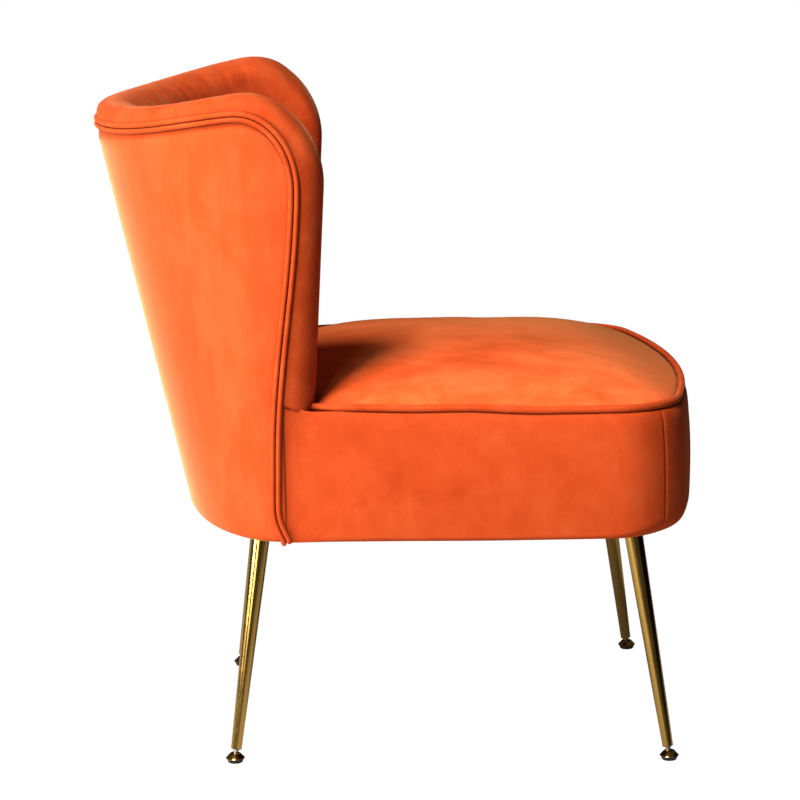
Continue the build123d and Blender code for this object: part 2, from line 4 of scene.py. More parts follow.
import bmesh
import bpy
import numpy as np
from mathutils import Matrix, Vector


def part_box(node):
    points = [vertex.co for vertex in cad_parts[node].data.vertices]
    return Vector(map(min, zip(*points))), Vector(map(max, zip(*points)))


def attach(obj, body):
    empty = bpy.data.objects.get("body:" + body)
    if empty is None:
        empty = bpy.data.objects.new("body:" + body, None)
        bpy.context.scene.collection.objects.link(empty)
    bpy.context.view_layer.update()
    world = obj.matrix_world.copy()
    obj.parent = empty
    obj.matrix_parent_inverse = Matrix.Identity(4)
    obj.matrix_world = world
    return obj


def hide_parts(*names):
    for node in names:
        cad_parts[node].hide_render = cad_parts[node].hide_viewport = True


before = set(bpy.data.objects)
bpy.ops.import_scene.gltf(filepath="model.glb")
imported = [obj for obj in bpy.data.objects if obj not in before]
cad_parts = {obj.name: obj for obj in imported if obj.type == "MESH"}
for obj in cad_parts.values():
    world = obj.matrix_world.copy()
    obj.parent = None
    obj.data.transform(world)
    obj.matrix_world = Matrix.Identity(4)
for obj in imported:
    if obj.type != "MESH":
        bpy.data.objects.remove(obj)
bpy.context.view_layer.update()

bl_info = {
    "name": "Tufted accent chair",
    "version": (1, 0, 0),
    "blender": (4, 5, 0),
    "location": "View3D > Sidebar > Chair",
    "description": "Builds the upholstery, piping, legs and feet of a velvet accent chair",
    "category": "Add Mesh",
}

# All sizes are in metres. A pair whose name ends in _Y, _RUN or _UP is where a change starts and ends.
ENDS = ("front_left", "front_right", "rear_left", "rear_right")
UPRIGHT = (0.0, 0.0, 1.0)

# Outside back: straight lines from a lower half oval to an upper, deeper one
UNDERSIDE_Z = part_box("outer_back_panel")[0].z
SHELL_HEIGHT = 0.425
BASE_HALF_WIDTH = 0.258
BASE_DEPTH = 0.1138
BASE_SPRING_Y = 0.1265
TOP_HALF_WIDTH = 0.270
TOP_DEPTH = 0.2166
TOP_SPRING_Y = 0.1165
COVER_WALL = 0.0035
COVER_ROUND = 0.006
COVER_TUCK = 0.002
COVER_TUCK_UP = (0.955, 1.0)
COVER_INSIDE_LIFT = 0.002
COVER_INSIDE_DROP = 0.001

# Edge of the outside back: a top line that rises late to the wings, a round corner, then a slow
# sway down the wing that sweeps forward at its foot
TOP_LINE_Z = 0.7028
WING_RISE = 0.0280
SWAY_MIDDLE = 0.0032
SWAY = 0.0100
SWAY_START_Z = 0.36
SWAY_HALF_WAVE = 0.30
FOOT_SWEEP = 0.0116
FOOT_SWEEP_Z = 0.305
FOOT_SWEEP_RISE = 0.036
CORNER_Z = 0.650
CORNER_RUN = 0.064
CORNER_RISE = 0.080
TOP_TUCK = 0.0038

# Inside back: the roll along its top and down the wings' fronts, and the fullness of its face
ROLL_RISE = 0.0258
ROLL_CREST_SHARE = 0.96
ROLL_LEVEL_Z = 0.70
ROLL_CORNER_RUN = 0.108
ROLL_CORNER_RISE = 0.106
ROLL_POWER = 2.6
ROLL_FLATNESS = 0.75
ROLL_INNER_DROP = 0.006
TIP_LOW_Z = 0.42
TIP_LOW_Y = 0.0935
TIP_SLOPE = -0.063
FRONT_STRETCH = 0.06
SEAT_GAP = 0.001
WING_FOOT_LIFT = 0.0125
WING_FOOT_RUN = (0.10, 0.05)
WING_TIP_DROP = 0.010
WING_TIP_RUN = (0.036, 0.004)
UNDER_COVER = 0.0045
UNDER_COVER_RUN = (0.0, 0.006)
FACE_CROWN = 0.004
LAP_CROWN = 0.013
LAP_FULLNESS = 0.014
LAP_THINNING = 0.010

# Tufts of the inside back: height and turns in degrees of each row of buttons
TUFT_ROWS = ((0.622, (-36, 0, 36)), (0.532, (-18, 18)))
TUFT_RADIUS = 0.19
BUTTON_RADIUS = 0.0100
BUTTON_DOME = 0.0055
BUTTON_SINK = 0.002
BUTTON_PULL = 1.3
GATHER_DEPTH = 0.0016
GATHER_FADE = 0.035

# Seat plan: bowed front, round corners, sides that taper to the back
SEAT_FRONT_Y = -0.3297
BOW_RADIUS = 0.85
CORNER_RADIUS = 0.078
HALF_WIDTH_FRONT = 0.272
HALF_WIDTH_REAR = 0.261
SIDE_START_Y = -0.209
FRONT_SKEW = 0.030
FRONT_SKEW_Y = (-0.16, -0.27)

# Seat band: its profile, its corner seams and its ends behind the back's edge
BORDER_TOP_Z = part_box("seat_border_front")[1].z
BAND_REAR_Y = 0.118
BAND_EDGE = 0.006
BAND_EDGE_FRONT = 0.016
BAND_EDGE_Y = (-0.22, -0.30)
BAND_SAG = 0.0018
BAND_SAG_Y = (0.08, -0.12)
BAND_LIFTS = ((0.004, -0.15, -0.06), (0.0022, -0.02, 0.06))
BAND_LEAN = 0.0035
BAND_LEAN_UP = (0.70, 1.0)
BAND_ROUND_UP = 0.68
BAND_WALL = 0.0155
BAND_LIP = 0.002
SEAM_Y = -0.2815
SEAM_DEPTH = 0.0012
SEAM_WIDTH = 0.0011
WING_SEAM_RISE = 0.0072
WING_SEAM_Y = (0.075, 0.098)
WING_SEAM_SQUARE = 0.85
WING_SEAM_SQUARE_Y = (0.070, 0.098)
VALLEY_DEPTH = 0.008
VALLEY_Y = 0.090
VALLEY_WIDTH = 0.014
VALLEY_UP = (0.60, 1.0)
BAND_LAP = 0.010
BAND_LAP_Y = (-0.02, BAND_REAR_Y)
BAND_END_SINK = 0.0008
BAND_FLUSH_Y = (0.02, BAND_REAR_Y - 0.012)
BAND_TUCK = 0.006
BAND_TUCK_RUN = (-0.001, 0.006)

# Seat piping: set in from the band, and at each wing a curve into the wing's foot
PIPING_INSET = 0.009
PIPING_FRONT_Y = -0.3205
PIPING_CORNER = 0.075
PIPING_SINK = 0.0010
PIPING_DIVE_Y = 0.045
PIPING_DIVE = ((0.2535, 0.080), (0.2490, 0.103), (0.2250, 0.113))

# Seat cushion: its crown, its flange and its swelling as cloth
CUSHION_MIDDLE = (0.0, -0.075)
CROWN_POWER = 2.6
REAR_FALL = 0.14
REAR_FALL_Y = (-0.12, 0.16)
RIM_RISE = 0.0030
RIM_INSET = 1.2
FLANGE_INSET = 0.3
FLANGE_LEVELS = (-0.010, 0.0024)
CUSHION_LAP_RISE = 0.03
CUSHION_LAP_TOP_Z = 0.71
CUSHION_LAP_DEPTH = 0.004
RING_EASE = 1.35
RING_END = 0.985
VOXEL = 0.006
CLOTH_MASS = 0.0006
PUFF_PRESSURE = 4.0
PUFF_FRAMES = 20
PUFF_CAP = 0.012
PUFF_PIN_RISE = 0.006

# Back piping: two cords side by side, standing a little proud of the edge
CORD_SPACING = 1.04
CORD_PROUD = 0.0014

# Legs and feet: slopes and turned profiles of radius and height
LEG_SLOPE_X = 0.19
LEG_SLOPE_Y = 0.1415
LEG_TOP_RADIUS = 0.01075
LEG_BOTTOM_RADIUS = 0.0060
LEG_BORE_RADIUS = 0.004
LEG_BORE_DEPTH = 0.0004
LEG_TOP_BORE_RADIUS = 0.002
LEG_ROUND = 0.0008
LEG_END = 0.009
BALL_Z = 0.0052
PLATE_Z = 0.272
SHARP_ANGLE = math.radians(35)
CUP_PROFILE = (
    (0.0090, 0.0047), (0.0100, 0.0046), (0.0104, 0.0047), (0.01065, 0.0050), (0.0104, 0.0054),
    (0.0100, 0.0058), (0.0058, 0.0102), (0.0054, 0.0104), (0.0043, 0.0104))
GLIDE_PROFILE = (
    (0.0060, 0.0), (0.0076, 0.0), (0.0080, 0.0003), (0.0096, 0.0040), (0.0096, 0.0043), (0.0055, 0.0043))
STUD_BALL_RADIUS = 0.0036
STUD_NECK = ((0.0025, 0.0045), (0.0025, 0.0068))
THREAD_ROOT_RADIUS = 0.0027
THREAD_CREST_RADIUS = 0.0030
THREAD_START = 0.0070
THREAD_END = 0.0380
THREAD_STEP = 0.0005

# Camera: its place, then yaw, pitch and roll in degrees, and its lens and sensor in millimetres
CAMERA_PLACE = (-3.3388, 0.0865, 1.0322)
CAMERA_TURN = (1.549, 11.23, -1.0473)
CAMERA_LENS = 132.35
CAMERA_SENSOR = 36.0
CAMERA_REACH = 60.0

# Stage: place, aim, width and height, power and colour of each soft light, and the dark cards
WORLD_FILL = 0.05
WORLD_GLOSS = 0.06
FLOOR_REACH = 12.0
FLOOR_GLOW = 1.06
FLOOR_GLOW_SHARE = 0.94
LIGHTS = (
    ("key", (-1.2, 2.5, 1.1), (0.0, 0.1, 0.45), (1.2, 1.2), 105.0, "#FFFFFF"),
    ("side_fill", (-3.0, 1.3, 1.0), (0.0, 0.0, 0.4), (1.0, 1.0), 20.0, "#FFFFFF"),
    ("top", (-1.7, 1.0, 2.8), (0.0, -0.1, 0.45), (0.7, 0.7), 118.0, "#FFFFFF"),
)
CARDS = (
    ("card_front", (-0.3, -1.5, 0.6), (0.0, 0.0, 0.45), (2.2, 1.6)),
    ("card_far", (1.6, 0.0, 0.6), (0.0, 0.0, 0.45), (2.2, 1.4)),
)

# Velvet finishes: size of the pile's patches in mm, stretch of its strokes, how far they go from
# dark to pale, strength of the sheen, tone of the whole piece, which is painted light and shade
# (lit and shaded copies of one velvet), and for the seat the strength of its painted light and shade
VELVETS = {
    "velvet_back": {"patch_mm": 120, "streak": (1.0, 1.0, 0.3), "spread": 0.32, "sheen": 0.95, "painted_light_tone": 0.90},
    "velvet_seat": {"patch_mm": 70, "streak": (0.8, 0.4, 0.8), "spread": 0.17, "sheen": 1.0, "painted_light_tone": 1.45,
                    "tint": "#FFB56C", "painted_light_and_shade": 0.90},
    "velvet_band": {"patch_mm": 60, "streak": (1.0, 1.0, 0.6), "spread": 0.36, "sheen": 0.2, "painted_light_tone": 0.85},
    "velvet_roll": {"patch_mm": 60, "streak": (1.0, 1.0, 0.6), "spread": 0.24, "sheen": 0.3, "painted_light_tone": 0.72},
    "piping_velvet": {"patch_mm": 40, "streak": (1.0, 1.0, 1.0), "spread": 0.30, "sheen": 0.2, "painted_light_tone": 0.85},
}

# Inner finishes: dark and pale colour, pattern size in mm, stretch, roughness, metallic, relief in mm
INNER_FINISHES = {
    "birch_plywood": ("#B98F5E", "#D9B98A", 18, (0.15, 1.0, 1.0), 0.6, 0.0, 0.2),
    "polyurethane_foam": ("#D8CFA8", "#EFE7C6", 3, (1.0, 1.0, 1.0), 0.95, 0.0, 0.5),
    "grey_felt": ("#6E6A66", "#8C8883", 6, (1.0, 1.0, 1.0), 0.95, 0.0, 0.4),
    "elastic_webbing": ("#3A3A3C", "#6B5E4E", 5, (0.1, 0.1, 1.0), 0.8, 0.0, 0.4),
    "zinc_steel": ("#8F9296", "#B5B8BC", 12, (1.0, 1.0, 1.0), 0.35, 1.0, 0.05),
    "dust_lining": ("#0E0E0F", "#1B1B1C", 4, (1.0, 1.0, 1.0), 0.9, 0.0, 0.2),
    "moulded_plastic": ("#0B0B0C", "#161617", 5, (1.0, 1.0, 1.0), 0.45, 0.0, 0.05),
}

# Which finish each carried-over node takes, by the start of its name; the first match holds
INNER_NODES = (
    ("leg_screws", "zinc_steel"), ("leg_plate", "gold_plated_steel"), ("leg_insert", "zinc_steel"),
    ("rear_rail_screws", "zinc_steel"), ("seat_springs", "zinc_steel"), ("spring_clips", "zinc_steel"),
    ("spring_felt", "grey_felt"), ("back_straps", "elastic_webbing"), ("seat_core", "polyurethane_foam"),
    ("dust_cover", "dust_lining"), ("seat_", "birch_plywood"), ("front_corner", "birch_plywood"),
    ("rear_", "birch_plywood"), ("back_", "birch_plywood"), ("wing_ear", "birch_plywood"),
)


def linear(code):
    """An sRGB hex colour as linear red, green, blue and alpha."""
    channels = np.array([int(code[i:i + 2], 16) for i in (1, 3, 5)]) / 255
    low = channels / 12.92
    high = ((channels + 0.055) / 1.055) ** 2.4
    return (*np.where(channels <= 0.04045, low, high).tolist(), 1.0)


def smooth_step(low, high, value):
    """0 up to low, 1 from high on and a smooth cubic between them, falling where high is the lesser."""
    t = np.clip((value - low) / (high - low), 0, 1)
    return t * t * (3 - 2 * t)


class ChairSizes(bpy.types.PropertyGroup):
    """Sizes of the soft pieces that a user would change."""
    seat_crown: bpy.props.FloatProperty(
        name="Seat crown", description="Height of the seat's middle over its piping",
        default=0.0420, unit="LENGTH")
    seat_piping: bpy.props.FloatProperty(
        name="Seat piping", description="Radius of the piping round the seat",
        default=0.0042, unit="LENGTH")
    back_piping: bpy.props.FloatProperty(
        name="Back piping", description="Radius of each of the two cords round the back",
        default=0.0029, unit="LENGTH")
    back_pad: bpy.props.FloatProperty(
        name="Back pad", description="Thickness of the padded wings", default=0.060, unit="LENGTH")
    tuft_depth: bpy.props.FloatProperty(
        name="Tuft depth", description="How far each button draws in the inside back",
        default=0.013, unit="LENGTH")
    border_bulge: bpy.props.FloatProperty(
        name="Border bulge", description="How far the seat's band swells at half its height",
        default=0.0025, unit="LENGTH")


class ChairColours(bpy.types.PropertyGroup):
    """Colours of the finishes that a user would change."""
    velvet: bpy.props.FloatVectorProperty(
        name="Velvet", description="Velvet with its pile upright", subtype="COLOR", size=4,
        min=0, max=1, default=linear("#D34E21"))
    velvet_dark: bpy.props.FloatVectorProperty(
        name="Velvet, brushed down", description="Velvet where the pile leans away", subtype="COLOR",
        size=4, min=0, max=1, default=linear("#B83A12"))
    velvet_pale: bpy.props.FloatVectorProperty(
        name="Velvet, brushed up", description="Velvet where the pile leans to the light",
        subtype="COLOR", size=4, min=0, max=1, default=linear("#E36333"))
    gold: bpy.props.FloatVectorProperty(
        name="Gold", description="Polished gold plating", subtype="COLOR", size=4,
        min=0, max=1, default=linear("#CFA252"))


# Meshes

def skin(name, grid, capped=True):
    """Closed surface from a grid of points whose rows are closed loops: quads between neighbouring
    rows and columns, with a fan to the middle of the first and last row if capped."""
    rows, columns, _ = grid.shape
    index = np.arange(rows * columns).reshape(rows, columns)
    index = np.concatenate([index, index[:, :1]], axis=1)
    quads = np.stack([index[:-1, :-1], index[1:, :-1], index[1:, 1:], index[:-1, 1:]], axis=-1)
    points = grid.reshape(-1, 3)
    faces = quads.reshape(-1, 4).tolist()
    if capped:
        middles = np.stack([grid[0].mean(axis=0), grid[-1].mean(axis=0)])
        for row, middle in ((index[0], rows * columns), (index[-1], rows * columns + 1)):
            fan = np.stack([row[1:], row[:-1], np.full(len(row) - 1, middle)], axis=-1)
            faces += fan.tolist()
        points = np.concatenate([points, middles])
    mesh = bpy.data.meshes.new(name)
    mesh.from_pydata(points.tolist(), [], faces)
    return finish_mesh(name, mesh)


def finish_mesh(name, mesh):
    """Object of a mesh with doubles merged, faces outwards and smooth shading."""
    work = bmesh.new()
    work.from_mesh(mesh)
    bmesh.ops.remove_doubles(work, verts=work.verts, dist=1e-6)
    bmesh.ops.dissolve_degenerate(work, edges=work.edges, dist=1e-7)
    bmesh.ops.recalc_face_normals(work, faces=work.faces)
    work.to_mesh(mesh)
    work.free()
    mesh.polygons.foreach_set("use_smooth", np.ones(len(mesh.polygons), dtype=bool))
    piece = bpy.data.objects.new(name, mesh)
    bpy.context.scene.collection.objects.link(piece)
    return piece


def dress(piece, material, slot, body, *nodes):
    """Give a piece its finish, ride it on a body and let it stand for nodes. The slot is not used."""
    piece.data.materials.clear()
    piece.data.materials.append(material)
    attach(piece, body)
    if nodes:
        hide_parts(*nodes)


def unit(vectors):
    """Vectors scaled to a length of one."""
    return vectors / np.linalg.norm(vectors, axis=-1, keepdims=True)


def circle_turns(sides):
    """Even turns round a circle."""
    return np.linspace(0, 2 * np.pi, sides, endpoint=False)


def tube(name, path, outward, radius, sides=14):
    """Round cord: a circle of the radius carried along a path, upright on the outward directions,
    its ends closed by a half ball of shrinking circles."""
    along = unit(np.gradient(path, axis=0))
    across = unit(np.cross(along, outward))
    up = np.cross(across, along)
    turn = circle_turns(sides)[:, None]
    circle = across[:, None] * np.cos(turn) + up[:, None] * np.sin(turn)
    steps = np.linspace(0, np.pi / 2, 5)[1:, None, None]
    rings = path[:, None] + circle * radius
    start = path[0] - along[0] * radius * np.sin(steps) + circle[0] * radius * np.cos(steps)
    end = path[-1] + along[-1] * radius * np.sin(steps) + circle[-1] * radius * np.cos(steps)
    return skin(name, np.concatenate([start[::-1], rings, end]))


def turned(name, profile, origin, axis, sides):
    """Turned piece: a profile of radius and distance along the axis, carried round that axis."""
    axis = unit(np.array(axis))
    side = unit(np.cross(axis, UPRIGHT if abs(axis[1]) > 0.5 else (0.0, 1.0, 0.0)))
    turn = circle_turns(sides)[:, None]
    ring = side * np.cos(turn) + np.cross(axis, side) * np.sin(turn)
    profile = np.array(profile)
    grid = np.array(origin) + axis * profile[:, None, 1:2] + ring * profile[:, None, 0:1]
    return skin(name, grid)


# The back's own geometry

def between(base, top, z):
    """Value at a height on the straight line from the lower oval's value to the upper one's."""
    return base + (top - base) * (z - UNDERSIDE_Z) / SHELL_HEIGHT


def spring_y(z):
    """Where the half oval starts at a height."""
    return between(BASE_SPRING_Y, TOP_SPRING_Y, z)


def oval_depth(z):
    """Depth of the half oval at a height."""
    return between(BASE_DEPTH, TOP_DEPTH, z)


def outward_way(angle):
    """Level direction out of the back, straight to the side ahead of the oval."""
    angle = np.clip(angle, -np.pi / 2, np.pi / 2)
    return unit(np.stack([
        np.sin(angle) * 2 / (BASE_HALF_WIDTH + TOP_HALF_WIDTH),
        np.cos(angle) * 2 / (BASE_DEPTH + TOP_DEPTH),
        np.zeros_like(angle),
    ], axis=-1))


def shell(angle, z, depth):
    """Point of the back: on the oval at a height and an angle from its middle, then inwards."""
    half_width = between(BASE_HALF_WIDTH, TOP_HALF_WIDTH, z)
    outer = np.stack([half_width * np.sin(angle), spring_y(z) + oval_depth(z) * np.cos(angle), z], axis=-1)
    return outer - outward_way(angle) * depth[..., None]


def angle_of(y, z):
    """Angle from the back's middle of a point of the oval at a depth y and a height."""
    return np.arccos(np.clip((y - spring_y(z)) / oval_depth(z), -1, 1))


def edge_y(z):
    """Depth of the outside back's front edge: the oval's start with a slow sway, and a sweep
    forward at the foot."""
    low = np.minimum(z, CORNER_Z)
    turn = np.clip((low - SWAY_START_Z) / SWAY_HALF_WAVE, 0, 1)
    foot = np.clip((FOOT_SWEEP_Z - low) / FOOT_SWEEP_RISE, 0, 1)
    return spring_y(low) + SWAY_MIDDLE + SWAY * np.cos(np.pi * turn) - FOOT_SWEEP * foot ** 2


def top_line_z(angle):
    """Height of the back's top line, level behind and rising to the wings."""
    return TOP_LINE_Z + WING_RISE * np.sin(angle) ** 4


def quarter(run, length, rise):
    """How far a quarter oval corner lies under its top, at a run from its front."""
    t = np.clip(1 - run / length, 0, 1)
    return rise * (1 - np.sqrt(np.clip(1 - t * t, 0, 1)))


def edge_top(share):
    """Angle and height of the outside back's top edge at a share of the way to its front edge: the
    top line, then a quarter oval corner. The height sets the angle, so it is found in a few steps."""
    z = np.full_like(share, TOP_LINE_Z)
    for _ in range(6):
        angle = share * angle_of(edge_y(z), z)
        run = spring_y(z) + oval_depth(z) * np.cos(angle) - edge_y(z)
        z = top_line_z(angle) - quarter(run, CORNER_RUN, CORNER_RISE)
    return angle, z


def edge_top_z(angle):
    """Height of the outside back's top edge at an angle."""
    steps, heights = edge_top(np.sin(np.linspace(0, np.pi / 2, 300)))
    return np.interp(np.abs(angle), steps, heights)


def tip_y(z):
    """Front edge of the wings' roll at a height."""
    return TIP_LOW_Y + TIP_SLOPE * (z - TIP_LOW_Z)


def eased(count):
    """Evenly turned steps from -1 to 1, close together at both ends."""
    return np.sin(np.linspace(-np.pi / 2, np.pi / 2, count))


def outside_back_grid():
    """Outside back: columns from wing to wing, each a closed loop that rolls under the lower edge,
    climbs the oval's straight line to the top line, tucks under the piping and comes down inside."""
    share = eased(141)[:, None]
    _, top = edge_top(share)
    everywhere = np.ones_like(share)
    turn = np.linspace(-np.pi / 2, 0, 6)[:-1]
    low = UNDERSIDE_Z + COVER_ROUND
    under_z = (low + COVER_ROUND * np.sin(turn)) * everywhere
    under_depth = COVER_ROUND * (1 - np.cos(turn)) * everywhere
    up = np.linspace(0, 1, 70)
    climb_z = low + (top - low) * up
    lap = np.cos(share * np.pi / 2) ** 2
    climb_depth = (COVER_TUCK + TOP_TUCK * lap) * smooth_step(*COVER_TUCK_UP, up)
    down = np.linspace(1, 0, 24)
    low = UNDERSIDE_Z + COVER_INSIDE_LIFT
    inside_z = low + (top - COVER_INSIDE_DROP - low) * down
    inside_depth = (COVER_WALL + COVER_ROUND * (down == 0)) * everywhere
    z = np.concatenate([under_z, climb_z, inside_z], axis=1)
    depth = np.concatenate([under_depth, climb_depth, inside_depth], axis=1)
    return shell(share * angle_of(edge_y(z), z), z, depth)


def inner_depth(angle, z, top_z, pad):
    """Depth of the inside back's face: fuller in the lap of the back, with a slight crown."""
    up = np.clip((z - BORDER_TOP_Z) / (top_z - BORDER_TOP_Z), 0, 1)
    full = np.cos(np.clip(angle, -np.pi / 2, np.pi / 2)) ** 2
    bulge = FACE_CROWN + LAP_CROWN * full
    return pad + (LAP_FULLNESS - LAP_THINNING * up) * full + 4 * bulge * up * (1 - up)


def tuft_points():
    """Angle and height of each button: three above and two below."""
    return np.array([(math.radians(turn), z) for z, turns in TUFT_ROWS for turn in turns])


def tuft_draw(angle, z, deep):
    """How far the tufts draw the face in: a round hollow at each button, and a fold along each
    line from button to button, from the upper ones to the top and from the lower ones to the seat."""
    hollow, pull_share, pull = 0.016, 0.35, 0.030
    fold_share, fold_fade, fold_width = 0.30, 0.55, 0.0045
    fan_up, reach_up, fan_down, reach_down = 1.12, 0.15, 1.1, 0.13
    flat = np.stack([angle * TUFT_RADIUS, z], axis=-1)
    spots = tuft_points() * (TUFT_RADIUS, 1)
    draw = np.zeros_like(z)
    for spot in spots:
        far = np.linalg.norm(flat - spot, axis=-1)
        dent = np.exp(-(far / hollow) ** 2) + pull_share * np.exp(-far / pull)
        draw = np.maximum(draw, deep * dent)
    lines = [(spots[upper], spots[lower]) for upper, lower in ((0, 3), (1, 3), (1, 4), (2, 4))]
    lines += [(spot, spot * (fan_up, 1) + (0, reach_up)) for spot in spots[:3]]
    lines += [(spot, spot * (fan_down, 1) - (0, reach_down)) for spot in spots[3:]]
    for start, end in lines:
        run = end - start
        t = np.clip(((flat - start) @ run) / (run @ run), 0, 1)
        far = np.linalg.norm(flat - start - t[..., None] * run, axis=-1)
        draw = draw + fold_share * deep * (1 - fold_fade * t) * np.exp(-(far / fold_width) ** 2)
    return draw


def gather_draw(angle):
    """How far the gathers round the lap of the roll draw in: narrow folds at even turns, some deeper,
    that end before the wings."""
    step, width = math.radians(8.5), math.radians(1.3)
    off = ((angle / step + 0.5) % 1 - 0.5) * step
    fold = np.exp(-(off / width) ** 2)
    uneven = 0.65 + 0.35 * np.sin(5.3 * angle)
    return GATHER_DEPTH * fold * uneven * smooth_step(1.35, 1.0, np.abs(angle))


def wing_steps():
    """How far behind the wing's front edge each slice of the inside back is measured, and its share
    of the turn: close steps along one wing's front, even steps round the back, then the other wing."""
    front = FRONT_STRETCH * (1 - np.cos(np.linspace(0, np.pi / 2, 16)))[:-1]
    turns = np.linspace(1, -1, 181)
    run = np.concatenate([front, np.full(len(turns), FRONT_STRETCH), front[::-1]])
    share = np.concatenate([np.ones(len(front)), turns, -np.ones(len(front))])
    return run[:, None], share[:, None]


def inside_back_grid(sizes):
    """Inside back: upright closed slices from one wing front round to the other. Each slice climbs
    the outer side, rolls over the top, comes down the padded face and closes along its foot. Towards
    the wing fronts the slices close in to a blunt roll, by a power of the distance from the front,
    and their tops fall away in a quarter oval."""
    pad = sizes.back_pad
    radius = pad / 2
    run, share = wing_steps()

    def angle_at(z):
        """Angle of each slice at a height."""
        return share * angle_of(tip_y(z) + run, z)

    level = np.array([[ROLL_LEVEL_Z]])
    turn = angle_at(level)
    from_tip = spring_y(level) + oval_depth(level) * np.cos(turn) - tip_y(level)
    ahead = np.clip(1 - from_tip / radius, 0, 1)
    thin = np.clip(1 - ahead ** ROLL_POWER, 0, 1) ** (1 / ROLL_POWER)
    rise = ROLL_CREST_SHARE * ROLL_RISE * thin
    crest = top_line_z(turn) + ROLL_RISE - quarter(from_tip, ROLL_CORNER_RUN, ROLL_CORNER_RISE)
    shoulder = crest - rise
    inner_top = shoulder - ROLL_INNER_DROP * thin
    bottom = BORDER_TOP_Z + SEAT_GAP + WING_FOOT_LIFT * smooth_step(*WING_FOOT_RUN, from_tip)
    bottom = bottom - WING_TIP_DROP * smooth_step(*WING_TIP_RUN, from_tip)

    # Outer side, sunk a little where the outside back covers it
    up = np.linspace(0, 1, 110)
    outer_z = bottom + (shoulder - bottom) * up
    outer_angle = angle_at(outer_z)
    behind = np.abs(angle_of(edge_y(outer_z), outer_z)) - np.abs(outer_angle)
    covered = np.minimum(behind * oval_depth(outer_z), edge_top_z(outer_angle) - outer_z)
    outer_depth = radius - radius * thin + TOP_TUCK * np.cos(turn) ** 2
    outer_depth = outer_depth + UNDER_COVER * smooth_step(*UNDER_COVER_RUN, covered)

    # Padded face, drawn in by the tufts and gathers
    face_z = inner_top + (bottom - inner_top) * up
    face_angle = angle_at(face_z)
    swell = inner_depth(face_angle, face_z, inner_top, pad) - radius
    face_depth = radius + (swell - tuft_draw(face_angle, face_z, sizes.tuft_depth)) * thin
    face_depth = face_depth - gather_draw(face_angle) * np.exp((face_z - inner_top) / GATHER_FADE)

    # Roll from the outer side to the face, and the foot back again
    over = np.linspace(np.pi, 0, 34)[1:-1]
    mix = (1 + np.cos(over)) / 2
    roll_z = shoulder * (1 - mix) + inner_top * mix + rise * np.sin(over) ** ROLL_FLATNESS
    roll_z = roll_z - gather_draw(turn) * smooth_step(0.2, 0.7, mix)
    roll_depth = outer_depth[:, -1:] * (1 - mix) + face_depth[:, :1] * mix
    back = np.linspace(0, 1, 10)[1:-1]
    foot_depth = face_depth[:, -1:] * (1 - back) + outer_depth[:, :1] * back
    foot_z = bottom * np.ones_like(back)
    z = np.concatenate([outer_z, roll_z, face_z, foot_z], axis=1)
    depth = np.concatenate([outer_depth, roll_depth, face_depth, foot_depth], axis=1)
    return shell(angle_at(z), z, depth)


# The seat's own geometry

def seat_path(front_y, corner_radius, inset, rear_y):
    """Open plan line of the seat from its left rear round the front to its right rear: straight
    side, corner arc, bowed front, corner arc and straight side, the front slightly askew. The
    corner's centre is where the side's and the bow's parallels cross. Gives points and outward ways."""
    side_count, corner_count, front_count = 90, 110, 60
    along = unit(np.array([HALF_WIDTH_REAR - HALF_WIDTH_FRONT, BASE_SPRING_Y - SIDE_START_Y]))
    side_way = np.array([along[1], -along[0]])
    bow = np.array([0, front_y + BOW_RADIUS])
    start = np.array([HALF_WIDTH_FRONT, SIDE_START_Y]) - side_way * (inset + corner_radius)
    b = (start - bow) @ along
    c = (start - bow) @ (start - bow) - (BOW_RADIUS - corner_radius) ** 2
    centre = start + along * (-b - math.sqrt(b * b - c))
    bow_way = unit(centre - bow)
    side_turn = math.atan2(side_way[1], side_way[0])
    bow_turn = math.atan2(bow_way[1], bow_way[0])
    side_end = centre + side_way * corner_radius
    length = (rear_y - side_end[1]) / along[1]
    side = side_end + along * np.linspace(length, 0, side_count, endpoint=False)[:, None]
    turn = np.linspace(side_turn, bow_turn, corner_count, endpoint=False)
    corner_way = np.stack([np.cos(turn), np.sin(turn)], axis=-1)
    corner = centre + corner_way * corner_radius
    turn = np.linspace(bow_turn, -np.pi / 2, front_count)
    front_way = np.stack([np.cos(turn), np.sin(turn)], axis=-1)
    front = bow + front_way * BOW_RADIUS
    points = np.concatenate([side, corner, front])
    ways = np.concatenate([np.tile(side_way, (side_count, 1)), corner_way, front_way])
    flip = np.array([-1, 1])
    points = np.concatenate([points, points[-2::-1] * flip])
    ways = np.concatenate([ways, ways[-2::-1] * flip])
    points[:, 1] += FRONT_SKEW * points[:, 0] * smooth_step(*FRONT_SKEW_Y, points[:, 1])
    return points, ways


def piping_plan(rear_y):
    """Plan line of the seat's piping, set in from the band's."""
    return seat_path(PIPING_FRONT_Y, PIPING_CORNER, PIPING_INSET, rear_y)[0]


def band_lift(y):
    """How far the seat's upper edge rises towards the back, in two smooth steps."""
    return sum(rise * smooth_step(start, end, y) for rise, start, end in BAND_LIFTS)


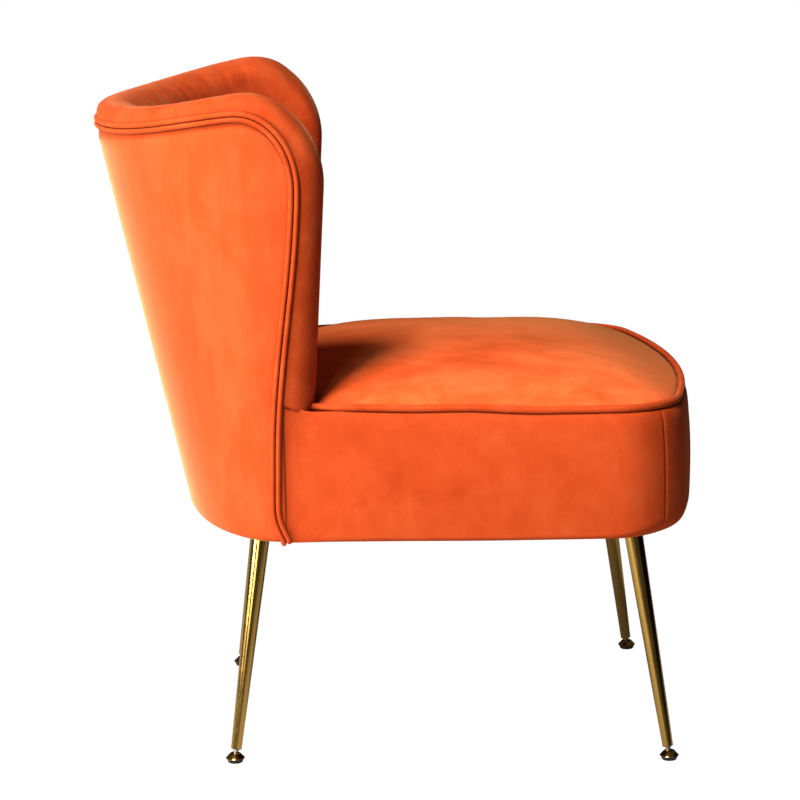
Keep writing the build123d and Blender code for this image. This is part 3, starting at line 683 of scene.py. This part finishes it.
def border_grid(sizes):
    """Band round the seat: a closed profile carried along the plan line. The profile rolls under
    the lower edge, swells at half height and rounds over to the piping, with a groove at each
    corner seam and a soft valley where the band meets the wing. Its ends follow the back's edge
    and tuck in behind it."""
    points, ways = seat_path(SEAT_FRONT_Y, CORNER_RADIUS, 0.0, BAND_REAR_Y)
    upper = piping_plan(BAND_REAR_Y)
    y = points[:, 1:2]
    edge = BAND_EDGE + BAND_EDGE_FRONT * smooth_step(*BAND_EDGE_Y, y)
    base = UNDERSIDE_Z - BAND_SAG * smooth_step(*BAND_SAG_Y, y)
    top = BORDER_TOP_Z + band_lift(y) + WING_SEAM_RISE * smooth_step(*WING_SEAM_Y, y)

    # Heights and offsets of the outer face, the lower edge and the inner face
    up = np.linspace(0, 1, 48)
    face_z = base + edge + (top - base - edge) * up
    swell = sizes.border_bulge * np.sin(np.pi * up) - BAND_LEAN * up * (1 - smooth_step(*BAND_LEAN_UP, up))
    seam = SEAM_DEPTH * np.exp(-((y - SEAM_Y) / SEAM_WIDTH) ** 2)
    valley = VALLEY_DEPTH * np.exp(-((y - VALLEY_Y) / VALLEY_WIDTH) ** 2) * smooth_step(*VALLEY_UP, up)
    face_out = swell - seam - valley
    turn = np.linspace(-np.pi / 2, 0, 10)[:-1]
    under_z = base + edge + edge * np.sin(turn)
    under_out = face_out[:, :1] - edge * (1 - np.cos(turn))
    down = np.linspace(1, 0, 12)
    inner_z = base + (top - BAND_LIP - base) * down
    inner_out = -BAND_WALL - np.maximum(edge - BAND_WALL, 0) * (1 - down)
    z = np.concatenate([under_z, face_z, inner_z], axis=1)
    offset = np.concatenate([under_out, face_out, inner_out], axis=1)

    # Rounding from the band's plan line over to the piping's
    t = np.clip((up - BAND_ROUND_UP) / (1 - BAND_ROUND_UP), 0, 1)
    over = (1 - np.sqrt(1 - t * t)) * (1 - WING_SEAM_SQUARE * smooth_step(*WING_SEAM_SQUARE_Y, y))
    blend = np.concatenate([np.zeros_like(under_z), over, over[:, -1:] * np.ones_like(down)], axis=1)
    blend = blend[..., None]
    plan = points[:, None] * (1 - blend) + upper[:, None] * blend + ways[:, None] * offset[..., None]

    # Ends flush with the back's edge, then behind it
    plan[..., 1] += smooth_step(*BAND_LAP_Y, y) * (edge_y(z) + BAND_LAP - BAND_REAR_Y)
    end = shell(angle_of(edge_y(z), z), z, np.zeros_like(z))[..., 0] - BAND_END_SINK
    outer = np.arange(z.shape[1]) < len(turn) + len(up)
    side = np.sign(plan[..., 0])
    plan[..., 0] += side * smooth_step(*BAND_FLUSH_Y, y) * outer * (end - np.abs(plan[..., 0]))
    hidden = plan[..., 1] - edge_y(z)
    plan[..., 0] -= side * outer * BAND_TUCK * smooth_step(*BAND_TUCK_RUN, hidden)
    return np.concatenate([plan, z[..., None]], axis=-1)


def piping_line():
    """Plan line of the seat's piping: parallel to the band's upper edge, and at each wing a cubic
    curve that turns in to the wing's foot."""
    points = piping_plan(PIPING_DIVE_Y)
    t = np.linspace(1, 0, 40, endpoint=False)[:, None]
    control = np.array([points[0], *PIPING_DIVE])
    weights = np.concatenate([(1 - t) ** 3, 3 * t * (1 - t) ** 2, 3 * t * t * (1 - t), t ** 3], axis=1)
    dive = weights @ control
    return np.concatenate([dive, points, dive[::-1] * (-1, 1)])


def piping_path(radius):
    """Centre line of the seat's piping, sunk a little into the band's upper edge."""
    plan = piping_line()
    z = BORDER_TOP_Z - PIPING_SINK + radius + band_lift(plan[:, 1])
    return np.concatenate([plan, z[:, None]], axis=1)


def cushion_grid(sizes):
    """Seat cushion: rings drawn from the closed plan line to its middle, with height falling off by
    a power of the distance from the middle, a flange under the piping and a flat underside."""
    plan = piping_line()
    rise = band_lift(plan[:, 1])
    along = np.gradient(plan, axis=0)
    inward = unit(np.stack([along[:, 1], -along[:, 0]], axis=-1)) * sizes.seat_piping
    lap = np.linspace(-math.radians(88), math.radians(88), 121)
    z = np.full_like(lap, BORDER_TOP_Z + CUSHION_LAP_RISE)
    depth = inner_depth(lap, z, CUSHION_LAP_TOP_Z, sizes.back_pad) - CUSHION_LAP_DEPTH
    rear = shell(lap, z, depth)[:, :2]
    line = np.concatenate([plan + inward * RIM_INSET, rear])
    flange = np.concatenate([plan + inward * FLANGE_INSET, rear])
    lift = np.concatenate([rise, np.full(len(rear), rise[0])])
    middle = np.array(CUSHION_MIDDLE)
    share = 1 - np.linspace(0, 1, 60)[:, None] ** RING_EASE * RING_END
    inner = middle + (line - middle)[None] * share[..., None]
    crown = sizes.seat_crown * (1 - REAR_FALL * smooth_step(*REAR_FALL_Y, inner[..., 1]))
    height = BORDER_TOP_Z + RIM_RISE + lift * share + crown * (1 - share ** CROWN_POWER)
    level = BORDER_TOP_Z + np.array(FLANGE_LEVELS)[:, None] + lift
    plan_grid = np.concatenate([flange[None], flange[None], inner])
    return np.concatenate([plan_grid, np.concatenate([level, height])[..., None]], axis=-1)


def puff(piece, pinned_below):
    """Run a cushion as cloth: its mesh is remeshed evenly, blown up from inside with no gravity
    while everything below a height stays pinned, and no point moves further than the cap."""
    scene = bpy.context.scene
    remesh = piece.modifiers.new("remesh", "REMESH")
    remesh.mode = "VOXEL"
    remesh.voxel_size = VOXEL
    mesh = bpy.data.meshes.new_from_object(piece.evaluated_get(bpy.context.evaluated_depsgraph_get()))
    piece.modifiers.remove(remesh)
    piece.data = mesh
    count = len(mesh.vertices)
    start = np.empty(count * 3)
    mesh.vertices.foreach_get("co", start)
    start = start.reshape(-1, 3)
    pins = piece.vertex_groups.new(name="pins")
    pins.add(np.flatnonzero(start[:, 2] < pinned_below).tolist(), 1.0, "REPLACE")
    cloth = piece.modifiers.new("cloth", "CLOTH")
    cloth.settings.use_pressure = True
    cloth.settings.uniform_pressure_force = PUFF_PRESSURE
    cloth.settings.mass = CLOTH_MASS
    cloth.settings.vertex_group_mass = "pins"
    cloth.settings.effector_weights.gravity = 0.0
    for number in range(1, PUFF_FRAMES + 1):
        scene.frame_set(number)
    blown = np.empty(count * 3)
    solved = piece.evaluated_get(bpy.context.evaluated_depsgraph_get()).to_mesh()
    solved.vertices.foreach_get("co", blown)
    scene.frame_set(1)
    piece.modifiers.remove(cloth)
    move = blown.reshape(-1, 3) - start
    far = np.linalg.norm(move, axis=1, keepdims=True)
    move *= np.minimum(1, PUFF_CAP / np.maximum(far, 1e-9))
    mesh.vertices.foreach_set("co", (start + move).ravel())
    mesh.polygons.foreach_set("use_smooth", np.ones(len(mesh.polygons), dtype=bool))
    finer = piece.modifiers.new("subdivision", "SUBSURF")
    finer.levels = finer.render_levels = 1


def back_edge():
    """Line of the back's double piping at even steps: up one wing's edge, round its corner, along
    the top line and down the other wing, smoothed by a running mean, with the outward way at each
    point."""
    low_z = np.linspace(UNDERSIDE_Z + 0.001, CORNER_Z, 80, endpoint=False)
    low_angle = angle_of(edge_y(low_z), low_z)
    top_angle, top_z = edge_top(eased(401)[::-1])
    angle = np.concatenate([low_angle, top_angle, -low_angle[::-1]])
    z = np.concatenate([low_z, top_z, low_z[::-1]])
    path = shell(angle, z, TOP_TUCK * np.cos(angle) ** 2 * smooth_step(CORNER_Z, TOP_LINE_Z, z))
    run = np.concatenate([[0], np.cumsum(np.linalg.norm(np.diff(path, axis=0), axis=1))])
    even = np.linspace(0, run[-1], 520)
    path = np.stack([np.interp(even, run, line) for line in path.T], axis=-1)
    outward = outward_way(np.interp(even, run, angle))
    reach = 3
    blur = np.ones(2 * reach + 1) / (2 * reach + 1)
    middle = np.stack([np.convolve(line, blur, mode="valid") for line in path.T], axis=-1)
    return np.concatenate([path[:reach], middle, path[-reach:]]), outward


# Legs and feet

def leg_line(end):
    """Centre of the ball in a leg's foot and the way up the leg's axis."""
    low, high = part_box(f"foot_glide_{end}")
    x, y = (low.x + high.x) / 2, (low.y + high.y) / 2
    axis = np.array((-math.copysign(LEG_SLOPE_X, x), -math.copysign(LEG_SLOPE_Y, y), 1.0))
    return np.array((x, y, BALL_Z)), unit(axis)


def leg_profile(foot, axis):
    """Radius and distance up the axis of a leg: a shallow bore, a rounded end and a straight taper."""
    top = (PLATE_Z - foot[2]) / axis[2]
    bottom = LEG_END / axis[2]
    return [(LEG_BORE_RADIUS, bottom + LEG_BORE_DEPTH), (LEG_BOTTOM_RADIUS - LEG_ROUND, bottom),
            (LEG_BOTTOM_RADIUS, bottom + LEG_ROUND), (LEG_TOP_RADIUS, top), (LEG_TOP_BORE_RADIUS, top)]


def stud_profile():
    """Radius and distance up the axis of a ball, a neck and a thread that rises and falls by turns."""
    pole = 0.00001
    turns = np.linspace(-np.pi / 2, np.pi * 0.28, 12)
    ball = [(STUD_BALL_RADIUS * math.cos(t) + pole, STUD_BALL_RADIUS * math.sin(t)) for t in turns]
    places = np.arange(THREAD_START, THREAD_END, THREAD_STEP)
    thread = [((THREAD_ROOT_RADIUS, THREAD_CREST_RADIUS)[number % 2], place)
              for number, place in enumerate(places)]
    return [*ball, *STUD_NECK, *thread]


# Stage

def aimed(place, aim):
    """Matrix at a place whose -Z points to an aim."""
    way = Vector(aim) - Vector(place)
    return Matrix.Translation(place) @ way.to_track_quat("-Z", "Y").to_matrix().to_4x4()


def staged(name, data):
    """Object of the stage, which is no piece of the chair."""
    item = bpy.data.objects.new(name, data)
    bpy.context.scene.collection.objects.link(item)
    return item


def flat_card(name, half_x, half_y, turn, material):
    """Flat rectangle on the stage, placed by a matrix."""
    corners = np.array([(-half_x, -half_y, 0, 1), (half_x, -half_y, 0, 1), (half_x, half_y, 0, 1),
                        (-half_x, half_y, 0, 1)]) @ np.array(turn).T
    mesh = bpy.data.meshes.new(name)
    mesh.from_pydata(corners[:, :3].tolist(), [], [(0, 1, 2, 3)])
    mesh.materials.append(material)
    return staged(name, mesh)


def white_floor():
    """Pale floor that shows as white with a soft trace of the chair's shadow."""
    material, tree = blank("pale_floor")
    path = add(tree, "ShaderNodeLightPath")
    glow = add(tree, "ShaderNodeEmission", {"Color": linear("#FFFFFF"), "Strength": FLOOR_GLOW})
    matt = add(tree, "ShaderNodeBsdfDiffuse", {"Color": linear("#A8A8A8")})
    seen = add(tree, "ShaderNodeMath", {
        0: path.outputs["Is Camera Ray"], 1: FLOOR_GLOW_SHARE}, operation="MULTIPLY")
    mix = add(tree, "ShaderNodeMixShader", {0: seen.outputs[0], 1: matt.outputs[0], 2: glow.outputs[0]})
    close(tree, mix)
    flat_card("floor", FLOOR_REACH, FLOOR_REACH, Matrix(), material)


def white_world(scene):
    """White behind the chair for the camera, and a softer even light for everything else."""
    world = bpy.data.worlds.new("studio")
    world.use_nodes = True
    tree = world.node_tree
    tree.nodes.clear()
    path = add(tree, "ShaderNodeLightPath")
    fill, gloss, white = (
        add(tree, "ShaderNodeBackground", {"Color": linear("#FFFFFF"), "Strength": strength})
        for strength in (WORLD_FILL, WORLD_GLOSS, 1.0))
    lit = add(tree, "ShaderNodeMixShader", {
        0: path.outputs["Is Glossy Ray"], 1: fill.outputs[0], 2: gloss.outputs[0]})
    mix = add(tree, "ShaderNodeMixShader", {
        0: path.outputs["Is Camera Ray"], 1: lit.outputs[0], 2: white.outputs[0]})
    add(tree, "ShaderNodeOutputWorld", {"Surface": mix.outputs[0]})
    scene.world = world


def soft_light(name, place, aim, size, power, shade):
    """Square soft box that faces an aim."""
    data = bpy.data.lights.new(name, "AREA")
    data.shape = "RECTANGLE"
    data.size, data.size_y = size
    data.energy = power
    data.color = linear(shade)[:3]
    staged(name, data).matrix_world = aimed(place, aim)


def dark_card(name, place, aim, size):
    """Black card beside the chair, out of the picture, that puts dark bands in the polished legs."""
    material = bpy.data.materials.get("black_card")
    if material is None:
        material, tree = blank("black_card")
        close(tree, add(tree, "ShaderNodeBsdfDiffuse", {"Color": linear("#050505")}))
    card = flat_card(name, size[0] / 2, size[1] / 2, aimed(place, aim), material)
    card.visible_camera = False


def photo_camera(scene):
    """Long lens from the chair's right side, slightly above it and a little rolled."""
    data = bpy.data.cameras.new("camera")
    data.sensor_width = CAMERA_SENSOR
    data.lens = CAMERA_LENS
    data.clip_end = CAMERA_REACH
    yaw, pitch, roll = (math.radians(angle) for angle in CAMERA_TURN)
    ahead = Vector((math.cos(yaw) * math.cos(pitch), -math.sin(yaw) * math.cos(pitch), -math.sin(pitch)))
    right = Vector((-math.sin(yaw), -math.cos(yaw), 0.0))
    up = right.cross(ahead)
    across = right * math.cos(roll) + up * math.sin(roll)
    above = up * math.cos(roll) - right * math.sin(roll)
    turn = Matrix((across, above, -ahead)).transposed().to_4x4()
    camera = bpy.data.objects.new("camera", data)
    camera.matrix_world = Matrix.Translation(CAMERA_PLACE) @ turn
    scene.collection.objects.link(camera)
    scene.camera = camera


# Finishes

def add(tree, kind, sockets=None, **settings):
    """Add one node with its settings, and set or link its inputs."""
    item = tree.nodes.new(kind)
    for key, value in settings.items():
        setattr(item, key, value)
    for key, value in (sockets or {}).items():
        if isinstance(value, bpy.types.NodeSocket):
            tree.links.new(value, item.inputs[key])
        else:
            item.inputs[key].default_value = value
    return item


def blank(name):
    """New node material with nothing in it."""
    material = bpy.data.materials.new(name)
    material.use_nodes = True
    material.node_tree.nodes.clear()
    return material, material.node_tree


def close(tree, shader):
    """Link a shader to the material's output."""
    add(tree, "ShaderNodeOutputMaterial", {"Surface": shader.outputs[0]})


def per_mm(size):
    """Texture scale, in repeats a metre, for a pattern of this size in millimetres."""
    return 1000.0 / size


def paint_ramp(ramp, stops):
    """Set a colour ramp's stops from pairs of position and colour."""
    elements = ramp.color_ramp.elements
    while len(elements) < len(stops):
        elements.new(0.5)
    for element, (position, colour) in zip(elements, stops):
        element.position = position
        element.color = colour


def painted_seat_light_and_shade(tree, place, strokes, shade, colours, painted_light_and_shade):
    """Painted light and shade on the seat: its left half, which slopes away from the lamps, is
    painted paler, and dark strokes along its front edge paint the shade of the front slope."""
    aside = add(tree, "ShaderNodeSeparateXYZ", {0: place})
    # Painted light: the left half is mixed towards a pale orange
    brushed = add(tree, "ShaderNodeMapRange", {
        "Value": aside.outputs["X"], "From Min": -0.05, "From Max": 0.12, "To Max": 0.6 * painted_light_and_shade})
    lit_left_half = add(tree, "ShaderNodeMix", {
        0: brushed.outputs[0], 6: shade, 7: linear("#FF8B50")}, data_type="RGBA")
    # Painted shade: dark strokes along the front edge, where the cushion slopes down away from the lamps
    ahead = add(tree, "ShaderNodeVectorMath", {0: place, 1: (0.15, -1.0, 0.0)}, operation="DOT_PRODUCT")
    front = add(tree, "ShaderNodeMapRange", {
        "Value": ahead.outputs["Value"], "From Min": 0.22, "From Max": 0.32, "To Max": painted_light_and_shade})
    shade_strokes = add(tree, "ShaderNodeMapRange", {"Value": strokes, "From Min": 0.33, "From Max": 0.66})
    front_shade = add(tree, "ShaderNodeMath", {0: front.outputs[0], 1: shade_strokes.outputs[0]}, operation="MULTIPLY")
    # Painted shade colour: the dark velvet at under half its brightness
    flat = [0.45 * value for value in colours.velvet_dark[:3]]
    mix = add(tree, "ShaderNodeMix", {
        0: front_shade.outputs[0], 6: lit_left_half.outputs[2], 7: (*flat, 1.0)}, data_type="RGBA")
    return mix.outputs[2]


def velvet_material(name, colours, patch_mm, streak, spread, sheen, painted_light_tone, tint="#FFBA82", painted_light_and_shade=0.0):
    """Short cotton velvet. Patches and strokes of leaning pile go from dark to pale, the sheen
    pales it at the edges that the light rakes, painted shade from ambient occlusion darkens the
    colour and dims the sheen in crevices, and the bump gives it a soft grain, drawn coarser than real
    pile so that it shows. The tone scales the whole piece's colours as painted light and shade, and
    the last argument sets how strong the seat's painted light and shade are."""
    material, tree = blank(name)
    place = add(tree, "ShaderNodeTexCoord").outputs["Object"]
    patch = add(tree, "ShaderNodeTexNoise", {
        "Vector": place, "Scale": per_mm(patch_mm), "Detail": 4.0, "Roughness": 0.62, "Distortion": 0.6})
    stretch = add(tree, "ShaderNodeMapping", {"Vector": place, "Scale": streak})
    stroke = add(tree, "ShaderNodeTexNoise", {
        "Vector": stretch.outputs[0], "Scale": per_mm(24), "Detail": 5.0, "Roughness": 0.7})
    both = add(tree, "ShaderNodeMix", {0: 0.45, 2: patch.outputs[0], 3: stroke.outputs[0]})
    ramp = add(tree, "ShaderNodeValToRGB", {0: both.outputs[0]})
    # Painted light and shade: the tone makes the whole piece's colours paler or darker for how the light
    # falls on it
    shades = [(*(painted_light_tone * value for value in shade[:3]), 1.0)
              for shade in (colours.velvet_dark, colours.velvet, colours.velvet_pale)]
    paint_ramp(ramp, list(zip((0.5 - spread, 0.5, 0.5 + spread), shades)))
    shade = ramp.outputs[0]
    if painted_light_and_shade:
        shade = painted_seat_light_and_shade(tree, place, both.outputs[0], shade, colours, painted_light_and_shade)
    # Painted shade: ambient occlusion darkens the colour and dims the sheen in crevices
    occlusion = add(tree, "ShaderNodeAmbientOcclusion", {"Distance": 0.03}, samples=8)
    crevice_shade = add(tree, "ShaderNodeMapRange", {
        "Value": occlusion.outputs["AO"], "From Min": 0.35, "From Max": 0.85, "To Min": 0.30})
    colour = add(tree, "ShaderNodeMix", {0: 1.0, 6: shade, 7: crevice_shade.outputs[0]},
                 data_type="RGBA", blend_type="MULTIPLY")
    gloss = add(tree, "ShaderNodeMath", {0: crevice_shade.outputs[0], 1: sheen}, operation="MULTIPLY")
    grain = add(tree, "ShaderNodeTexNoise", {"Vector": place, "Scale": per_mm(1.6), "Detail": 2.0})
    bump = add(tree, "ShaderNodeBump", {
        "Height": grain.outputs[0], "Strength": 0.35, "Distance": 0.0006})
    close(tree, add(tree, "ShaderNodeBsdfPrincipled", {
        "Base Color": colour.outputs[2], "Normal": bump.outputs[0], "Roughness": 0.85,
        "Specular IOR Level": 0.02, "Sheen Weight": gloss.outputs[0], "Sheen Roughness": 0.35,
        "Sheen Tint": linear(tint)}))
    return material


def gold_material(name, colours):
    """Polished gold plating on steel: mirror-like, with a faint unevenness in its gloss."""
    material, tree = blank(name)
    place = add(tree, "ShaderNodeTexCoord").outputs["Object"]
    noise = add(tree, "ShaderNodeTexNoise", {"Vector": place, "Scale": per_mm(30), "Detail": 3.0})
    gloss = add(tree, "ShaderNodeMapRange", {
        "Value": noise.outputs[0], "To Min": 0.10, "To Max": 0.20})
    close(tree, add(tree, "ShaderNodeBsdfPrincipled", {
        "Base Color": colours.gold, "Metallic": 1.0, "Roughness": gloss.outputs[0]}))
    return material


def plain_material(name, dark, pale, size_mm, stretch, roughness, metallic, bump_mm):
    """Inner finish: two near colours in a noise stretched along the grain, with a light relief.
    It gives timber its grain, foam its cells, felt its fibres and steel its dull skin."""
    material, tree = blank(name)
    place = add(tree, "ShaderNodeTexCoord").outputs["Object"]
    run = add(tree, "ShaderNodeMapping", {"Vector": place, "Scale": stretch})
    noise = add(tree, "ShaderNodeTexNoise", {
        "Vector": run.outputs[0], "Scale": per_mm(size_mm), "Detail": 4.0, "Roughness": 0.6})
    ramp = add(tree, "ShaderNodeValToRGB", {0: noise.outputs[0]})
    paint_ramp(ramp, [(0.35, linear(dark)), (0.65, linear(pale))])
    bump = add(tree, "ShaderNodeBump", {
        "Height": noise.outputs[0], "Strength": 0.4, "Distance": bump_mm / 1000})
    close(tree, add(tree, "ShaderNodeBsdfPrincipled", {
        "Base Color": ramp.outputs[0], "Normal": bump.outputs[0], "Roughness": roughness,
        "Metallic": metallic}))
    return material


def finish_named(context, name):
    """The finish of this name, made on its first use."""
    found = bpy.data.materials.get(name)
    if found:
        return found
    colours = context.scene.chair_colours
    if name == "gold_plated_steel":
        return gold_material(name, colours)
    if name in VELVETS:
        return velvet_material(name, colours, **VELVETS[name])
    return plain_material(name, *INNER_FINISHES[name])


# Operators, one for each piece or group

class CHAIR_OT_outside_back(bpy.types.Operator):
    """Make the velvet cover of the outside back"""
    bl_idname = "chair.outside_back"
    bl_label = "Outside back"

    def execute(self, context):
        piece = skin("outside_back_cover", outside_back_grid())
        dress(piece, finish_named(context, "velvet_back"), "velvet", "chair", "outer_back_panel")
        return {"FINISHED"}


class CHAIR_OT_inside_back(bpy.types.Operator):
    """Make the padded inside back with its wings, roll and tufts"""
    bl_idname = "chair.inside_back"
    bl_label = "Inside back"

    def execute(self, context):
        piece = skin("inside_back_cover", inside_back_grid(context.scene.chair_sizes), capped=False)
        dress(piece, finish_named(context, "velvet_roll"), "velvet", "chair", "back_pad")
        return {"FINISHED"}


class CHAIR_OT_tuft_buttons(bpy.types.Operator):
    """Make the five covered buttons of the inside back"""
    bl_idname = "chair.tuft_buttons"
    bl_label = "Tuft buttons"

    def execute(self, context):
        sizes = context.scene.chair_sizes
        turns = np.linspace(0, np.pi / 2, 9)
        dome = [(BUTTON_RADIUS * math.cos(t), BUTTON_DOME * math.sin(t)) for t in turns]
        profile = [(BUTTON_RADIUS, -BUTTON_SINK), *dome]
        for number, (angle, z) in enumerate(tuft_points(), start=1):
            face = inner_depth(angle, z, ROLL_LEVEL_Z, sizes.back_pad)
            origin = shell(angle, z, np.array(face - sizes.tuft_depth * BUTTON_PULL - BUTTON_SINK))
            piece = turned(f"tuft_button_{number}", profile, origin, -outward_way(angle), 28)
            nodes = ("tuft_buttons",) if number == 1 else ()
            dress(piece, finish_named(context, "velvet_seat"), "velvet", "chair", *nodes)
        return {"FINISHED"}


class CHAIR_OT_seat_border(bpy.types.Operator):
    """Make the velvet band round the seat"""
    bl_idname = "chair.seat_border"
    bl_label = "Seat border"

    def execute(self, context):
        piece = skin("seat_band", border_grid(context.scene.chair_sizes))
        dress(piece, finish_named(context, "velvet_band"), "velvet", "chair",
              "seat_border_front", "seat_border_left", "seat_border_right")
        return {"FINISHED"}


class CHAIR_OT_seat_cushion(bpy.types.Operator):
    """Make the crowned seat cushion"""
    bl_idname = "chair.seat_cushion"
    bl_label = "Seat cushion"

    def execute(self, context):
        piece = skin("seat_cushion_cover", cushion_grid(context.scene.chair_sizes))
        puff(piece, BORDER_TOP_Z + PUFF_PIN_RISE)
        dress(piece, finish_named(context, "velvet_seat"), "velvet", "chair", "seat_cushion")
        return {"FINISHED"}


class CHAIR_OT_seat_piping(bpy.types.Operator):
    """Make the single piping round the seat"""
    bl_idname = "chair.seat_piping"
    bl_label = "Seat piping"

    def execute(self, context):
        radius = context.scene.chair_sizes.seat_piping
        path = piping_path(radius)
        piece = tube("seat_piping", path, np.tile(UPRIGHT, (len(path), 1)), radius)
        dress(piece, finish_named(context, "piping_velvet"), "velvet_piping", "chair", "seat_welt")
        return {"FINISHED"}


class CHAIR_OT_back_piping(bpy.types.Operator):
    """Make the double piping along the edge of the outside back"""
    bl_idname = "chair.back_piping"
    bl_label = "Back piping"

    def execute(self, context):
        radius = context.scene.chair_sizes.back_piping
        path, outward = back_edge()
        across = unit(np.cross(np.gradient(path, axis=0), outward)) * radius * CORD_SPACING
        for name, side in (("back_piping_inner", -1), ("back_piping_outer", 1)):
            piece = tube(name, path + across * side + outward * CORD_PROUD, outward, radius)
            nodes = ("back_welt",) if side == 1 else ()
            dress(piece, finish_named(context, "piping_velvet"), "velvet_piping", "chair", *nodes)
        return {"FINISHED"}


class CHAIR_OT_legs(bpy.types.Operator):
    """Make the four tapered gold legs"""
    bl_idname = "chair.legs"
    bl_label = "Legs"

    def execute(self, context):
        gold = finish_named(context, "gold_plated_steel")
        for end in ENDS:
            foot, axis = leg_line(end)
            piece = turned(f"gold_leg_{end}", leg_profile(foot, axis), foot, axis, 48)
            piece.data.set_sharp_from_angle(angle=SHARP_ANGLE)
            dress(piece, gold, "gold_metal", "chair", f"leg_{end}")
        return {"FINISHED"}


class CHAIR_OT_feet(bpy.types.Operator):
    """Make the four levelling feet: threaded stud, gold cup and black glide"""
    bl_idname = "chair.feet"
    bl_label = "Feet"

    def execute(self, context):
        gold, steel, plastic = (
            finish_named(context, name) for name in ("gold_plated_steel", "zinc_steel", "moulded_plastic"))
        for end in ENDS:
            foot, axis = leg_line(end)
            floor = (foot[0], foot[1], 0.0)
            stud = turned(f"threaded_stud_{end}", stud_profile(), foot, axis, 24)
            cup = turned(f"gold_cup_{end}", CUP_PROFILE, floor, UPRIGHT, 48)
            glide = turned(f"black_glide_{end}", GLIDE_PROFILE, floor, UPRIGHT, 48)
            for piece in (cup, glide):
                piece.data.set_sharp_from_angle(angle=SHARP_ANGLE)
            dress(stud, steel, "steel", f"stud_{end}", f"foot_stud_{end}")
            dress(cup, gold, "gold_metal", f"foot_{end}", f"foot_cup_{end}")
            dress(glide, plastic, "black_plastic", f"foot_{end}", f"foot_glide_{end}")
        return {"FINISHED"}


class CHAIR_OT_inner_parts(bpy.types.Operator):
    """Give the timber, springs, foam, straps and fasteners inside their finishes"""
    bl_idname = "chair.inner_parts"
    bl_label = "Inner parts"

    def execute(self, context):
        for name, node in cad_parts.items():
            if node.hide_render:
                continue
            kinds = [finish for start, finish in INNER_NODES if name.startswith(start)]
            if not kinds:
                raise RuntimeError(f"no finish is set for the node {name}")
            node.data.materials.clear()
            node.data.materials.append(finish_named(context, kinds[0]))
        return {"FINISHED"}


class CHAIR_OT_stage(bpy.types.Operator):
    """Make the pale floor, the soft studio lights, the dark cards and the camera"""
    bl_idname = "chair.stage"
    bl_label = "Stage"

    def execute(self, context):
        scene = context.scene
        scene.view_settings.view_transform = "Standard"
        white_floor()
        white_world(scene)
        for light in LIGHTS:
            soft_light(*light)
        for card in CARDS:
            dark_card(*card)
        photo_camera(scene)
        return {"FINISHED"}


class CHAIR_PT_panel(bpy.types.Panel):
    """Sidebar panel with the chair's sizes, colours and pieces"""
    bl_idname = "CHAIR_PT_panel"
    bl_label = "Tufted accent chair"
    bl_space_type = "VIEW_3D"
    bl_region_type = "UI"
    bl_category = "Chair"

    def draw(self, context):
        for group in (context.scene.chair_sizes, context.scene.chair_colours):
            for key in group.bl_rna.properties.keys():
                if key not in ("rna_type", "name"):
                    self.layout.prop(group, key)
        for operator in OPERATORS:
            self.layout.operator(operator.bl_idname)


OPERATORS = (
    CHAIR_OT_outside_back, CHAIR_OT_inside_back, CHAIR_OT_tuft_buttons, CHAIR_OT_seat_border,
    CHAIR_OT_seat_cushion, CHAIR_OT_seat_piping, CHAIR_OT_back_piping, CHAIR_OT_legs, CHAIR_OT_feet,
    CHAIR_OT_inner_parts, CHAIR_OT_stage,
)
CLASSES = (ChairSizes, ChairColours, *OPERATORS, CHAIR_PT_panel)


def register():
    """Register the classes and hang the sizes and colours on the scene."""
    for item in CLASSES:
        bpy.utils.register_class(item)
    bpy.types.Scene.chair_sizes = bpy.props.PointerProperty(type=ChairSizes)
    bpy.types.Scene.chair_colours = bpy.props.PointerProperty(type=ChairColours)


def unregister():
    """Take the sizes, colours and classes away again."""
    del bpy.types.Scene.chair_colours
    del bpy.types.Scene.chair_sizes
    for item in reversed(CLASSES):
        bpy.utils.unregister_class(item)


def main():
    """Make every piece in order."""
    register()
    bpy.ops.chair.outside_back()
    bpy.ops.chair.inside_back()
    bpy.ops.chair.tuft_buttons()
    bpy.ops.chair.seat_border()
    bpy.ops.chair.seat_cushion()
    bpy.ops.chair.seat_piping()
    bpy.ops.chair.back_piping()
    bpy.ops.chair.legs()
    bpy.ops.chair.feet()
    bpy.ops.chair.inner_parts()
    bpy.ops.chair.stage()


if __name__ == "__main__":
    main()
